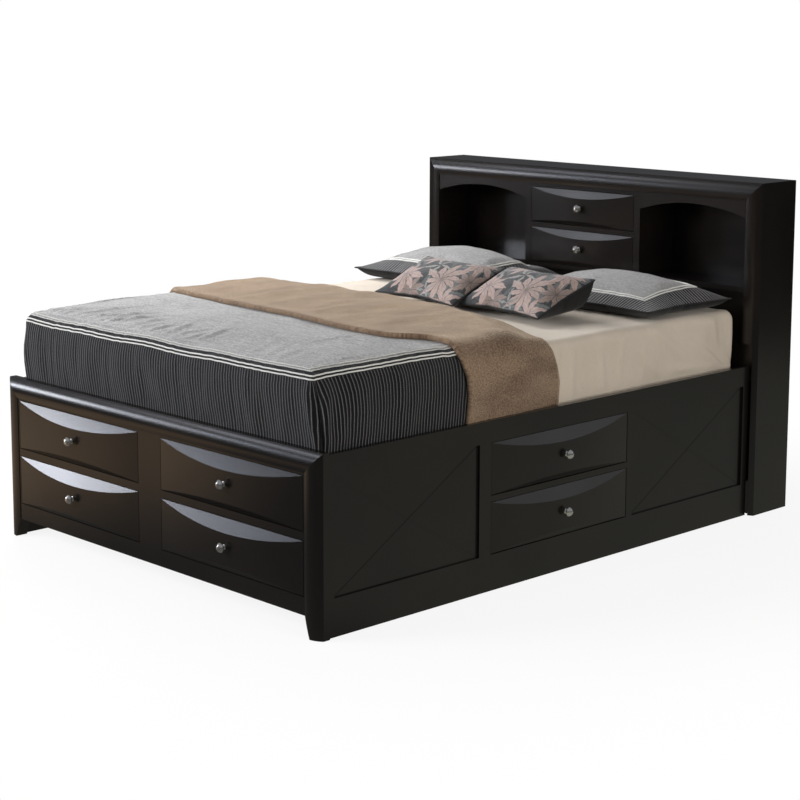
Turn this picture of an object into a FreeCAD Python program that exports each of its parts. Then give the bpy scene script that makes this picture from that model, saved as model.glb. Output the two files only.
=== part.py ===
import FreeCAD, Part
import os
import re

import Sketcher
from FreeCAD import Placement, Rotation, Vector

# Storage bed with a bookcase headboard. Millimetres, Z up, X across the bed, Y from the foot to the
# head. Every piece is drawn with Y counted from the face of the footboard; origin_y then moves it so
# that the middle of the whole bed, knobs included, stands on the origin.

# Driving sizes.
DIMS = {
    # the whole bed
    "bed_height": 1219.0,
    "head_depth": 215.0,
    "head_side_step": 28.5,
    "foot_height": 564.0,
    "foot_side_step": 8.5,
    "side_height": 555.0,
    "base_height": 480.0,
    # footboard
    "foot_mould": 66.0,
    "foot_thick": 42.0,
    "mould_inner_set": 2.0,
    "mould_outer_set": 17.0,
    "foot_lift": 66.0,
    "leg_taper": 23.0,
    "stile_width": 118.0,
    "edge_strip": 7.0,
    "foot_bottom_rail": 56.0,
    "foot_mid_rail": 26.0,
    "foot_frame_thick": 24.0,
    "foot_case_depth": 505.0,
    # bed sides
    "side_thick": 20.0,
    "side_top_rail": 71.0,
    "side_bottom_rail": 119.0,
    "side_mid_rail": 20.0,
    "front_stile": 26.0,
    "front_panel": 618.0,
    "mid_stile": 54.0,
    "side_bay": 674.0,
    "rear_stile": 32.0,
    "end_stile": 32.0,
    "panel_recess": 8.0,
    "panel_thick": 8.0,
    "seam_width": 2.0,
    "seam_depth": 1.5,
    "side_case_depth": 430.0,
    "end_block_length": 70.0,
    "end_block_thick": 25.0,
    # headboard
    "head_mould": 65.0,
    "head_mould_thick": 24.0,
    "head_outer_set": 12.0,
    "head_side_thick": 28.0,
    "head_top_thick": 22.0,
    "notch_height": 634.0,
    "notch_strip": 20.0,
    "shelf_height": 838.0,
    "shelf_thick": 18.0,
    "shelf_set": 9.0,
    "divider_thick": 30.0,
    "head_bay": 518.0,
    "head_face_set": 5.0,
    "head_face_thick": 19.0,
    "head_mid_rail": 19.0,
    "head_top_lip": 17.0,
    "valance_thick": 15.0,
    "valance_end": 66.0,
    "valance_rise": 38.0,
    "back_thick": 9.0,
    "lower_panel_thick": 18.0,
    "lower_panel_lift": 250.0,
    "post_width": 60.0,
    # slats and centre support
    "cleat": 25.0,
    "slat_thick": 18.0,
    "slat_width": 70.0,
    "slat_clear": 1.5,
    "slat_end_room": 33.0,
    "beam_width": 60.0,
    "beam_height": 60.0,
    "support_leg": 45.0,
    "support_foot_radius": 18.0,
    "support_foot_height": 12.0,
    # steel corner brackets
    "bracket_thick": 3.0,
    "bracket_flange": 28.0,
    "bracket_arm": 60.0,
    "bracket_height": 110.0,
    "bracket_hole": 7.0,
    # drawers
    "drawer_bow": 20.0,
    "facet_top": 41.0,
    "facet_bottom": 23.0,
    "front_gap": 2.0,
    "front_thick": 18.0,
    "foot_face_set": 4.0,
    "side_face_set": 1.0,
    "head_bow": 12.0,
    "head_facet_top": 30.0,
    "head_facet_bottom": 17.0,
    "box_board": 12.0,
    "box_floor": 6.0,
    "box_floor_lift": 10.0,
    "box_lift": 8.0,
    "case_board": 15.0,
    "foot_box_depth": 480.0,
    "side_box_depth": 400.0,
    "head_box_depth": 165.0,
    "lower_box_room": 14.5,
    "upper_box_room": 7.5,
    "head_box_room": 22.0,
    # drawer slides
    "slide_gap": 13.0,
    "slide_height": 35.0,
    "slide_wall": 1.5,
    "slide_clear": 0.5,
    "slide_rise": 30.0,
    # knobs
    "knob_reach": 29.0,
    "knob_radius": 15.0,
    "knob_rim": 2.5,
    "knob_neck": 15.0,
    "knob_stem_radius": 4.5,
    "knob_base_radius": 8.5,
    "knob_base_thick": 2.0,
    "knob_cone_radius": 10.0,
    "screw_radius": 2.0,
    "screw_clear": 0.1,
    "screw_grip": 11.0,
    "screw_head_radius": 4.0,
    "screw_head_thick": 2.5,
    # mattress and bedding
    "mattress_width": 1524.0,
    "mattress_length": 2032.0,
    "mattress_thick": 280.0,
    "mattress_round": 40.0,
    "mattress_foot_room": 55.0,
    "mattress_head_room": 16.0,
    "mattress_side_room": 27.5,
    "cloth_gap": 0.3,
    "comforter_reach": 1150.0,
    "comforter_tuck": 16.0,
    "comforter_bulge": 29.0,
    "comforter_edge": 41.0,
    "comforter_crown": 17.0,
    "comforter_front_tuck": 9.0,
    "comforter_front_bulge": 19.0,
    "comforter_drop": 240.0,
    "comforter_bulge_height": 195.0,
    "throw_thick": 11.0,
    "throw_reach": 1240.0,
    "throw_head_height": 22.0,
    "sham_width": 700.0,
    "sham_depth": 480.0,
    "sham_rise": 44.0,
    "sham_sag": 38.0,
    "sham_spread": 395.0,
    "sham_head_room": 12.0,
    "accent_size": 440.0,
    "accent_rise": 46.0,
    "accent_sag": 10.0,
    "accent_spread": 228.0,
    "accent_shift": 34.0,
    "accent_back": 549.0,
    "accent_ease": 0.6,
    "accent_tilt": 15.0,
    "accent_turn": 5.0,
    "accent_step": 4.0,
    # how near two curved faces count as one where solids are joined
    "join_tolerance": 0.001,
    # cuts run past the piece by this much
    "overrun": 5.0,
}

# Sizes that follow from the driving ones.
FORMULAS = {
    "side_width": "mattress_width + 2 * (mattress_side_room + side_thick)",
    "foot_width": "side_width + 2 * foot_side_step",
    "head_width": "side_width + 2 * head_side_step",
    "bed_length": "mattress_head + mattress_head_room + head_depth",
    "front_reach": "knob_reach + drawer_bow - foot_face_set",
    "origin_y": "-(bed_length - front_reach) / 2",
    "head_front": "bed_length - head_depth",
    "head_box_front": "head_front + head_mould_thick",
    "head_face": "head_front + head_face_set",
    # footboard stations
    "foot_mould_in": "foot_width / 2 - foot_mould",
    "foot_mould_low": "foot_height - foot_mould",
    "foot_bay": "foot_mould_in - edge_strip - stile_width / 2",
    "foot_bay_centre": "stile_width / 2 + foot_bay / 2",
    "foot_lower_z": "foot_lift + foot_bottom_rail",
    "foot_opening": "(foot_mould_low - edge_strip - foot_lower_z - foot_mid_rail) / 2",
    "foot_upper_z": "foot_lower_z + foot_opening + foot_mid_rail",
    "foot_frame_back": "foot_face_set + foot_frame_thick",
    "foot_case_back": "foot_frame_back + foot_case_depth",
    # side stations
    "side_outer": "side_width / 2",
    "side_inner": "side_width / 2 - side_thick",
    "side_opening": "(side_height - side_top_rail - side_bottom_rail - side_mid_rail) / 2",
    "side_upper_z": "side_bottom_rail + side_opening + side_mid_rail",
    "panel_one_y": "foot_thick + front_stile",
    "stile_two_y": "panel_one_y + front_panel",
    "bay_y": "stile_two_y + mid_stile",
    "stile_three_y": "bay_y + side_bay",
    "panel_two_y": "stile_three_y + rear_stile",
    "stile_four_y": "head_front - end_stile",
    "rear_panel": "stile_four_y - panel_two_y",
    "panel_height": "side_height - side_top_rail - side_bottom_rail",
    # headboard stations
    "head_mould_in": "head_width / 2 - head_mould",
    "head_mould_low": "bed_height - head_mould",
    "head_inside": "head_width / 2 - head_side_thick",
    "head_top_under": "bed_height - head_top_thick",
    "head_back_face": "bed_length - back_thick",
    "head_opening": "(head_mould_low - head_top_lip - shelf_height - head_mid_rail) / 2",
    "head_upper_z": "shelf_height + head_opening + head_mid_rail",
    # base
    "slat_low": "base_height - slat_thick",
    "cleat_low": "slat_low - cleat",
    "beam_low": "slat_low - beam_height",
    # drawer boxes
    "lower_box_height": "side_opening - box_lift - lower_box_room",
    "upper_box_height": "cleat_low - side_upper_z - box_lift - upper_box_room",
    "head_box_height": "head_opening - box_lift - head_box_room",
    # slides
    "channel_depth": "slide_gap - slide_clear",
    "bar_thick": "slide_gap - slide_wall - slide_clear",
    "bar_height": "slide_height - 2 * slide_wall - 2 * slide_clear",
    # bedding
    "mattress_top": "base_height + mattress_thick",
    "mattress_head": "mattress_foot_room + mattress_length",
    "comforter_low": "mattress_top - comforter_drop - cloth_gap",
}

doc = FreeCAD.newDocument("storage_bed")
dims = doc.addObject("Spreadsheet::Sheet", "dims")
for row, (alias, size) in enumerate(DIMS.items(), start=1):
    dims.set(f"A{row}", alias.replace("_", " "))
    dims.set(f"B{row}", str(size))
    dims.setAlias(f"B{row}", alias)
doc.recompute()

NODES = {}


def spell(text):
    """Write a sum of named sizes as an expression on the sheet's cells."""

    def swap(match):
        word = match.group(0)
        if word in FORMULAS:
            return "(" + spell(FORMULAS[word]) + ")"
        return "dims." + word if word in DIMS else word

    return re.sub(r"[A-Za-z_]\w*", swap, str(text))


def value(text):
    """The number that a sum of named sizes comes to."""
    return float(dims.evalExpression(spell(text)))


def bind(item, prop, text):
    item.setExpression(prop, spell(text))


def place(item, x="0", y="0", z="0", turn=0, axis=Vector(0, 0, 1)):
    """Set where a piece stands, bound to the sheet, with a turn about one axis."""
    item.Placement = Placement(Vector(), Rotation(axis, turn))
    for key, text in zip("xyz", (x, y, z)):
        bind(item, f"Placement.Base.{key}", text)


def board(name, x, y, z, length, depth, height):
    """A square-edged board with one corner at x, y, z."""
    item = doc.addObject("Part::Box", name)
    for prop, text in zip(("Length", "Width", "Height"), (length, depth, height)):
        bind(item, prop, text)
    place(item, x, y, z)
    return item


def board_pair(name, x, y, z, length, depth, height):
    """The same board on the right side of the bed and mirrored on the left."""
    right = board(name + "_right", x, y, z, length, depth, height)
    left = board(name + "_left", f"-({x}) - ({length})", y, z, length, depth, height)
    return [right, left]


def one_sided(word, side):
    """A maker of boards stated for the right side, which mirrors them where side is -1."""

    def plank(name, x, y, z, length, depth, height):
        across = x if side > 0 else f"-({x}) - ({length})"
        return board(f"{word}_{name}", across, y, z, length, depth, height)

    return plank


def rod(name, radius, length, x, y, z, turn=0, axis=Vector(1, 0, 0)):
    item = doc.addObject("Part::Cylinder", name)
    bind(item, "Radius", radius)
    bind(item, "Height", length)
    place(item, x, y, z, turn, axis)
    return item


def cut(name, base, tool):
    item = doc.addObject("Part::Cut", name)
    item.Base = base
    item.Tool = tool
    return item


def node(label, pieces, x="0", y="origin_y", z="0", turn=0):
    """Gather the solids of one sub-part under its own label and placement."""
    if len(pieces) == 1:
        item = pieces[0]
        if not item.isDerivedFrom("PartDesign::Body"):
            raise RuntimeError(label + " needs a body or a group")
    else:
        item = doc.addObject("Part::Compound", label)
        item.Links = pieces
    item.Label = label
    place(item, x, y, z, turn)
    NODES[label] = item
    return item


def draw(body, name, plane, outline):
    """Sketch a closed outline on a plane of the body. Each entry is a corner, and one with four
    numbers also gives the point that the arc to the next corner passes through."""
    sketch = body.newObject("Sketcher::SketchObject", name)
    support = [item for item in body.Origin.OriginFeatures if item.Role == plane][0]
    sketch.AttachmentSupport = [(support, "")]
    sketch.MapMode = "FlatFace"
    spots = [Vector(value(entry[0]), value(entry[1]), 0) for entry in outline]
    ends = []
    through = []
    for index, entry in enumerate(outline):
        here = spots[index]
        there = spots[(index + 1) % len(spots)]
        if len(entry) == 2:
            edge = sketch.addGeometry(Part.LineSegment(here, there), False)
            ends.append((edge, 1, 2))
            continue
        middle = Vector(value(entry[2]), value(entry[3]), 0)
        edge = sketch.addGeometry(Part.Arc(here, middle, there), False)
        forward = (middle - here).cross(there - middle).z > 0
        ends.append((edge, 1, 2) if forward else (edge, 2, 1))
        point = sketch.addGeometry(Part.Point(middle), True)
        pin(sketch, f"mid{index}", point, 1, entry[2], entry[3])
        through.append((point, edge))
    for index, (edge, start, _) in enumerate(ends):
        before, _, finish = ends[index - 1]
        sketch.addConstraint(Sketcher.Constraint("Coincident", before, finish, edge, start))
        pin(sketch, f"end{index}", edge, start, *outline[index][:2])
    for point, edge in through:
        sketch.addConstraint(Sketcher.Constraint("PointOnObject", point, 1, edge))
    return sketch


def pin(sketch, name, edge, end, across, along):
    """Hold a point of a sketch at two named distances from the sketch's origin."""
    for kind, text in (("DistanceX", across), ("DistanceY", along)):
        spot = sketch.addConstraint(Sketcher.Constraint(kind, -1, 1, edge, end, value(text)))
        sketch.renameConstraint(spot, f"{name}_{kind[-1]}")
        bind(sketch, f"Constraints.{name}_{kind[-1]}", text)


def pad(body, sketch, length, middle=False):
    item = body.newObject("PartDesign::Pad", sketch.Name + "_pad")
    item.Profile = sketch
    bind(item, "Length", length)
    item.Midplane = middle
    sketch.Visibility = False
    return item


def pocket(body, sketch, length):
    """Cut an outline through the body, the same depth on both sides of its plane."""
    item = body.newObject("PartDesign::Pocket", sketch.Name + "_cut")
    item.Profile = sketch
    bind(item, "Length", f"2 * ({length})")
    item.Midplane = True
    sketch.Visibility = False
    return item


def moulding_leg(name, side, inner, outer, thick, outer_set, height):
    """An upright of the bowed moulding. side is 1 on the right and -1 on the left."""
    body = doc.addObject("PartDesign::Body", name)
    flip = "" if side > 0 else "-"
    outline = [
        (f"{flip}({inner})", "mould_inner_set", f"{flip}({inner} + {outer}) / 2", "0"),
        (f"{flip}({outer})", outer_set),
        (f"{flip}({outer})", thick),
        (f"{flip}({inner})", thick),
    ]
    pad(body, draw(body, name + "_plan", "XY_Plane", outline), height)
    mitre = [
        (f"{flip}({inner} - overrun)", f"{height} - {outer} + {inner} - overrun"),
        (f"{flip}({outer} + overrun)", f"{height} + overrun"),
        (f"{flip}({inner} - overrun)", f"{height} + overrun"),
    ]
    pocket(body, draw(body, name + "_mitre", "XZ_Plane", mitre), f"{thick} + overrun")
    return body


def moulding_top(name, inner, outer, thick, outer_set, height):
    """The moulding's top length, bowed like the uprights and mitred at both ends."""
    body = doc.addObject("PartDesign::Body", name)
    low = f"{height} - {outer} + {inner}"
    outline = [
        ("mould_inner_set", low, "0", f"({low} + {height}) / 2"),
        (outer_set, height),
        (thick, height),
        (thick, low),
    ]
    pad(body, draw(body, name + "_section", "YZ_Plane", outline), f"2 * ({outer})", True)
    for side, flip in (("right", ""), ("left", "-")):
        mitre = [
            (f"{flip}({inner} - overrun)", f"{low} - overrun"),
            (f"{flip}({outer} + overrun)", f"{low} - overrun"),
            (f"{flip}({outer} + overrun)", f"{height} + overrun"),
        ]
        pocket(body, draw(body, f"{name}_mitre_{side}", "XZ_Plane", mitre), f"{thick} + overrun")
    return body


def footboard():
    inner, outer = "foot_mould_in", "foot_width / 2"
    for word, side in (("right", 1), ("left", -1)):
        leg = moulding_leg(
            f"foot_leg_{word}", side, inner, outer, "foot_thick", "mould_outer_set", "foot_height"
        )
        flip = "" if side > 0 else "-"
        taper = [
            (f"{flip}({inner} - overrun)", "foot_lift"),
            (f"{flip}({inner})", "foot_lift"),
            (f"{flip}({inner} + leg_taper)", "0"),
            (f"{flip}({inner} + leg_taper)", "-overrun"),
            (f"{flip}({inner} - overrun)", "-overrun"),
        ]
        pocket(leg, draw(leg, f"foot_taper_{word}", "XZ_Plane", taper), "foot_thick + overrun")
        node(f"footboard_{word}_leg", [leg])
    top = moulding_top("foot_top", inner, outer, "foot_thick", "mould_outer_set", "foot_height")
    node("footboard_top_moulding", [top])

    front, thick = "foot_face_set", "foot_frame_thick"
    frame = [
        board(
            "foot_centre_stile", "-stile_width / 2", front, "foot_lower_z",
            "stile_width", thick, "foot_mould_low - edge_strip - foot_lower_z",
        ),
        board(
            "foot_bottom_board", f"-({inner})", front, "foot_lift",
            f"2 * ({inner})", thick, "foot_bottom_rail",
        ),
        board(
            "foot_top_strip", f"-({inner})", front, "foot_mould_low - edge_strip",
            f"2 * ({inner})", thick, "edge_strip",
        ),
    ]
    frame += board_pair(
        "foot_mid_board", "stile_width / 2", front, "foot_lower_z + foot_opening",
        "foot_bay", thick, "foot_mid_rail",
    )
    frame += board_pair(
        "foot_edge_board", f"{inner} - edge_strip", front, "foot_lower_z",
        "edge_strip", thick, "foot_mould_low - edge_strip - foot_lower_z",
    )
    node("footboard_face_frame", frame)

    low = "foot_lower_z - case_board"
    case = board_pair(
        "foot_end_gable", f"{inner} - edge_strip", "foot_thick", low,
        "case_board", "foot_case_back - foot_thick", f"slat_low - ({low})",
    )
    case += board_pair(
        "foot_centre_gable", "stile_width / 2 - case_board", "foot_frame_back", low,
        "case_board", "foot_case_depth", f"slat_low - ({low})",
    )
    case += board_pair(
        "foot_case_floor", "stile_width / 2", "foot_frame_back", low,
        "foot_bay", "foot_case_depth", "case_board",
    )
    case.append(board(
        "foot_case_back_board", f"-({inner}) + edge_strip - case_board", "foot_case_back", low,
        f"2 * ({inner} - edge_strip + case_board)", "case_board", f"slat_low - ({low})",
    ))
    node("footboard_drawer_case", case)


def side_frame(word, side):
    """One bed side: rails and stiles, the cleat for the slats and the block at the head end."""
    plank = one_sided(word, side)
    middle = "side_height - side_top_rail - side_bottom_rail"
    whole = "head_front - foot_thick"
    boards = [
        plank(
            "top_rail", "side_inner", "foot_thick", "side_height - side_top_rail",
            "side_thick", whole, "side_top_rail",
        ),
        plank("bottom_rail", "side_inner", "foot_thick", "0", "side_thick", whole, "side_bottom_rail"),
        plank(
            "mid_rail", "side_inner", "bay_y", "side_bottom_rail + side_opening",
            "side_thick", "side_bay", "side_mid_rail",
        ),
    ]
    stiles = (
        ("foot_thick", "front_stile"),
        ("stile_two_y", "mid_stile"),
        ("stile_three_y", "rear_stile"),
        ("stile_four_y", "end_stile"),
    )
    for index, (y, width) in enumerate(stiles):
        boards.append(plank(
            f"stile_{index}", "side_inner", y, "side_bottom_rail", "side_thick", width, middle,
        ))
    boards.append(plank(
        "cleat", "side_inner - cleat", "foot_thick + bracket_arm + overrun", "cleat_low",
        "cleat", "mattress_head - foot_thick - bracket_arm - end_block_length - overrun", "cleat",
    ))
    boards.append(plank(
        "end_block", "side_inner - end_block_thick", "head_box_front - end_block_length",
        "side_bottom_rail", "end_block_thick", "end_block_length", middle,
    ))
    node(f"{word}_side_frame", boards)

    low = "side_bottom_rail - case_board"
    height = f"cleat_low - ({low})"
    depth = "side_case_depth"
    start = "side_inner - side_case_depth"
    case = [
        plank("foot_gable", start, "bay_y - case_board", low, depth, "case_board", height),
        plank("head_gable", start, "stile_three_y", low, depth, "case_board", height),
        plank("case_floor", start, "bay_y", low, depth, "side_bay", "case_board"),
        plank(
            "case_back", f"{start} - case_board", "bay_y - case_board", low,
            "case_board", "side_bay + 2 * case_board", height,
        ),
    ]
    node(f"{word}_side_drawer_case", case)


def side_panels():
    """The four recessed panels, two on each side of the bed."""
    stations = (("front", "panel_one_y", "front_panel"), ("rear", "panel_two_y", "rear_panel"))
    panels = []
    for word, side in (("right", 1), ("left", -1)):
        for spot, y, length in stations:
            panels.append(crossed_panel(f"{word}_{spot}_panel", side, y, length))
    node("side_panels", panels)


def crossed_panel(name, side, y, length):
    """A recessed panel with a fine seam along each diagonal, drawn in its own plane."""
    body = doc.addObject("PartDesign::Body", name)
    outline = [
        ("0", "0"),
        (length, "0"),
        (length, "panel_height"),
        ("0", "panel_height"),
    ]
    pad(body, draw(body, name + "_face", "YZ_Plane", outline), "panel_thick", True)
    lean = f"seam_width * {length} / panel_height"
    for index, (start, end) in enumerate((("0", length), (length, "0"))):
        sign = 1 if index == 0 else -1
        seam = [
            (f"{start} + ({sign}) * ({lean}) / 2", "0"),
            (end, "panel_height - seam_width / 2"),
            (f"{end} - ({sign}) * ({lean}) / 2", "panel_height"),
            (start, "seam_width / 2"),
        ]
        sketch = draw(body, f"{name}_seam_{index}", "YZ_Plane", seam)
        groove = body.newObject("PartDesign::Pocket", sketch.Name + "_cut")
        groove.Profile = sketch
        bind(groove, "Length", "2 * seam_depth")
        groove.Midplane = True
        sketch.AttachmentOffset = Placement(Vector(0, 0, side * value("panel_thick") / 2), Rotation())
        bind(sketch, "AttachmentOffset.Base.z", f"({side}) * panel_thick / 2")
    place(body, f"({side}) * (side_outer - panel_recess - panel_thick / 2)", y, "side_bottom_rail")
    return body


def headboard():
    inner, outer = "head_mould_in", "head_width / 2"
    mouldings = [
        moulding_top("head_top", inner, outer, "head_mould_thick", "head_outer_set", "bed_height")
    ]
    for word, side in (("right", 1), ("left", -1)):
        leg = moulding_leg(
            f"head_leg_{word}", side, inner, outer, "head_mould_thick", "head_outer_set", "bed_height"
        )
        flip = "" if side > 0 else "-"
        notch = [
            (f"{flip}({inner} - overrun)", "-overrun"),
            (f"{flip}({outer} - notch_strip)", "-overrun"),
            (f"{flip}({outer} - notch_strip)", "notch_height"),
            (f"{flip}({inner} - overrun)", "notch_height"),
        ]
        sketch = draw(leg, f"head_notch_{word}", "XZ_Plane", notch)
        pocket(leg, sketch, "head_mould_thick + overrun")
        mouldings.append(leg)
    node("headboard_mouldings", mouldings, y="origin_y + head_front")

    deep = "head_depth - head_mould_thick"
    for word, side in (("right", 1), ("left", -1)):
        plank = one_sided(f"head_{word}", side)
        boards = [
            plank(
                "side_board", "head_inside", "head_box_front", "0",
                "head_side_thick", deep, "head_top_under",
            ),
            plank(
                "post", "head_inside - post_width", "head_box_front", "0",
                "post_width", "lower_panel_thick", "lower_panel_lift",
            ),
        ]
        node(f"headboard_{word}_side", boards)

    top = doc.addObject("PartDesign::Body", "head_top_board")
    outline = [
        (f"-({outer})", "head_box_front"),
        (outer, "head_box_front"),
        (outer, "bed_length"),
        (f"-({outer})", "bed_length"),
    ]
    pad(top, draw(top, "head_top_plan", "XY_Plane", outline), "head_top_thick")
    node("headboard_top_board", [top], z="head_top_under")

    shelf = doc.addObject("PartDesign::Body", "head_shelf")
    lip = "head_front + shelf_set"
    outline = [
        (f"-({inner})", lip),
        (inner, lip),
        (inner, "head_box_front"),
        ("head_inside", "head_box_front"),
        ("head_inside", "head_back_face"),
        ("-head_inside", "head_back_face"),
        ("-head_inside", "head_box_front"),
        (f"-({inner})", "head_box_front"),
    ]
    pad(shelf, draw(shelf, "head_shelf_plan", "XY_Plane", outline), "shelf_thick")
    node("headboard_shelf", [shelf], z="shelf_height - shelf_thick")

    bay = "head_bay / 2"
    dividers = board_pair(
        "head_divider", bay, "head_box_front", "shelf_height",
        "divider_thick", "head_back_face - head_box_front", "head_top_under - shelf_height",
    )
    dividers += board_pair(
        "head_stile", bay, "head_face", "shelf_height",
        "divider_thick", "head_face_thick", "head_mould_low - shelf_height",
    )
    dividers.append(board(
        "head_mid_board", f"-({bay})", "head_face", "shelf_height + head_opening",
        "head_bay", "head_face_thick", "head_mid_rail",
    ))
    dividers.append(board(
        "head_lip_board", f"-({bay})", "head_face", "head_mould_low - head_top_lip",
        "head_bay", "head_face_thick", "head_top_lip",
    ))
    node("headboard_dividers", dividers)

    near = f"{bay} + divider_thick"
    valances = []
    for word, flip in (("right", ""), ("left", "-")):
        body = doc.addObject("PartDesign::Body", f"head_valance_{word}")
        low = "head_mould_low - valance_end"
        outline = [
            (f"{flip}({near})", low, f"{flip}({near} + {inner}) / 2", f"{low} + valance_rise"),
            (f"{flip}({inner})", low),
            (f"{flip}({inner})", "head_mould_low"),
            (f"{flip}({near})", "head_mould_low"),
        ]
        sketch = draw(body, f"head_valance_{word}_face", "XZ_Plane", outline)
        pad(body, sketch, "valance_thick", True)
        place(body, y="head_face + valance_thick / 2")
        valances.append(body)
    node("headboard_valances", valances)

    backs = [
        board(
            "head_back", "-head_inside", "head_back_face", "lower_panel_lift",
            "2 * head_inside", "back_thick", "head_top_under - lower_panel_lift",
        ),
    ]
    backs.append(board(
        "head_back_rail", "-head_inside", "head_back_face - case_board", "lower_panel_lift",
        "2 * head_inside", "case_board", "post_width",
    ))
    node("headboard_back_panel", backs)

    lower = doc.addObject("PartDesign::Body", "head_lower")
    outline = [
        ("-head_inside", "head_box_front"),
        ("head_inside", "head_box_front"),
        ("head_inside", "head_box_front + lower_panel_thick"),
        ("-head_inside", "head_box_front + lower_panel_thick"),
    ]
    sketch = draw(lower, "head_lower_plan", "XY_Plane", outline)
    pad(lower, sketch, "shelf_height - shelf_thick - lower_panel_lift")
    node("headboard_lower_panel", [lower], z="lower_panel_lift")


SLAT_COUNT = 13
SUPPORT_LEG_SHARES = (0.15, 0.5, 0.85)


def base():
    """Slats on the cleats, and the beam that carries their middles."""
    start = "mattress_foot_room + slat_end_room"
    span = "mattress_length - 2 * slat_end_room - slat_width - end_block_length"
    slats = []
    for index in range(SLAT_COUNT):
        slats.append(board(
            f"slat_{index}", "-side_inner + slat_clear",
            f"{start} + ({span}) * {index} / {SLAT_COUNT - 1}", "slat_low",
            "2 * (side_inner - slat_clear)", "slat_width", "slat_thick",
        ))
    node("slats", slats)

    beam_start = "foot_case_back + case_board"
    length = f"head_box_front - ({beam_start})"
    pieces = [board(
        "support_beam", "-beam_width / 2", beam_start, "beam_low", "beam_width", length, "beam_height",
    )]
    for index, share in enumerate(SUPPORT_LEG_SHARES):
        along = f"{beam_start} + {share} * ({length})"
        pieces.append(board(
            f"support_leg_{index}", "-support_leg / 2", f"{along} - support_leg / 2",
            "support_foot_height", "support_leg", "support_leg", "beam_low - support_foot_height",
        ))
        pieces.append(rod(
            f"support_foot_{index}", "support_foot_radius", "support_foot_height", "0", along, "0",
        ))
    node("centre_support", pieces)


# Heights of the holes in a bracket, and how far along its arm they sit.
BRACKET_HOLE_SHARES = (0.25, 0.75)
BRACKET_ARM_SHARE = 0.6


def angle(name, side, x, y, deep):
    """A steel angle: a short flange across the bed and a longer one along it with two holes."""
    flip = "" if side > 0 else "-"
    body = doc.addObject("PartDesign::Body", name)
    back = f"{y} + ({deep}) / bracket_arm * bracket_thick"
    outline = [
        (f"{flip}({x})", y),
        (f"{flip}({x} - bracket_flange)", y),
        (f"{flip}({x} - bracket_flange)", back),
        (f"{flip}({x} - bracket_thick)", back),
        (f"{flip}({x} - bracket_thick)", f"{y} + {deep}"),
        (f"{flip}({x})", f"{y} + {deep}"),
    ]
    pad(body, draw(body, name + "_plan", "XY_Plane", outline), "bracket_height")
    bored = body
    for index, share in enumerate(BRACKET_HOLE_SHARES):
        hole = rod(
            f"{name}_hole_{index}", "bracket_hole / 2", "2 * bracket_flange",
            f"{flip}({x}) - bracket_flange", f"{y} + {BRACKET_ARM_SHARE} * ({deep})",
            f"{share} * bracket_height", 90, Vector(0, 1, 0),
        )
        bored = cut(f"{name}_bored_{index}", bored, hole)
    return bored


def brackets():
    """An angle at each foot corner and each head corner holds the sides to the boards."""
    pieces = []
    for word, side in (("right", 1), ("left", -1)):
        pieces.append(angle(
            f"foot_angle_{word}", side, "side_inner", "foot_thick", "bracket_arm",
        ))
        pieces.append(angle(
            f"head_angle_{word}", side, "side_inner - end_block_thick", "head_box_front",
            "-bracket_arm",
        ))
    node("corner_brackets", pieces, z="side_bottom_rail + case_board")


# One row for each drawer: its name, where its opening's lower middle lies, the way it faces, and the
# opening and box that it has.
FOOT_LOOK = ("foot_bay", "foot_opening", "foot_box_depth", "drawer_bow", "facet_top", "facet_bottom")
SIDE_LOOK = ("side_bay", "side_opening", "side_box_depth", "drawer_bow", "facet_top", "facet_bottom")
HEAD_LOOK = (
    "head_bay", "head_opening", "head_box_depth", "head_bow", "head_facet_top", "head_facet_bottom",
)


def drawer_rows():
    rows = []
    for word, flip in (("left", "-"), ("right", "")):
        for level, height in (("upper", "upper_box_height"), ("lower", "lower_box_height")):
            spot = (f"{flip}foot_bay_centre", "foot_face_set", f"foot_{level}_z")
            rows.append((f"foot_{level}_{word}", spot, 0, "foot_frame_thick", height, FOOT_LOOK))
    for word, side in (("left", -1), ("right", 1)):
        for level, height in (("upper", "upper_box_height"), ("lower", "lower_box_height")):
            floor = "side_upper_z" if level == "upper" else "side_bottom_rail"
            spot = (f"({side}) * (side_outer - side_face_set)", "bay_y + side_bay / 2", floor)
            thick = "side_thick - side_face_set"
            rows.append((f"{word}_side_{level}", spot, 90 * side, thick, height, SIDE_LOOK))
    for level in ("upper", "lower"):
        floor = "head_upper_z" if level == "upper" else "shelf_height"
        spot = ("0", "head_face", floor)
        rows.append((
            f"headboard_{level}", spot, 0, "head_face_thick", "head_box_height", HEAD_LOOK,
        ))
    return rows


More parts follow.
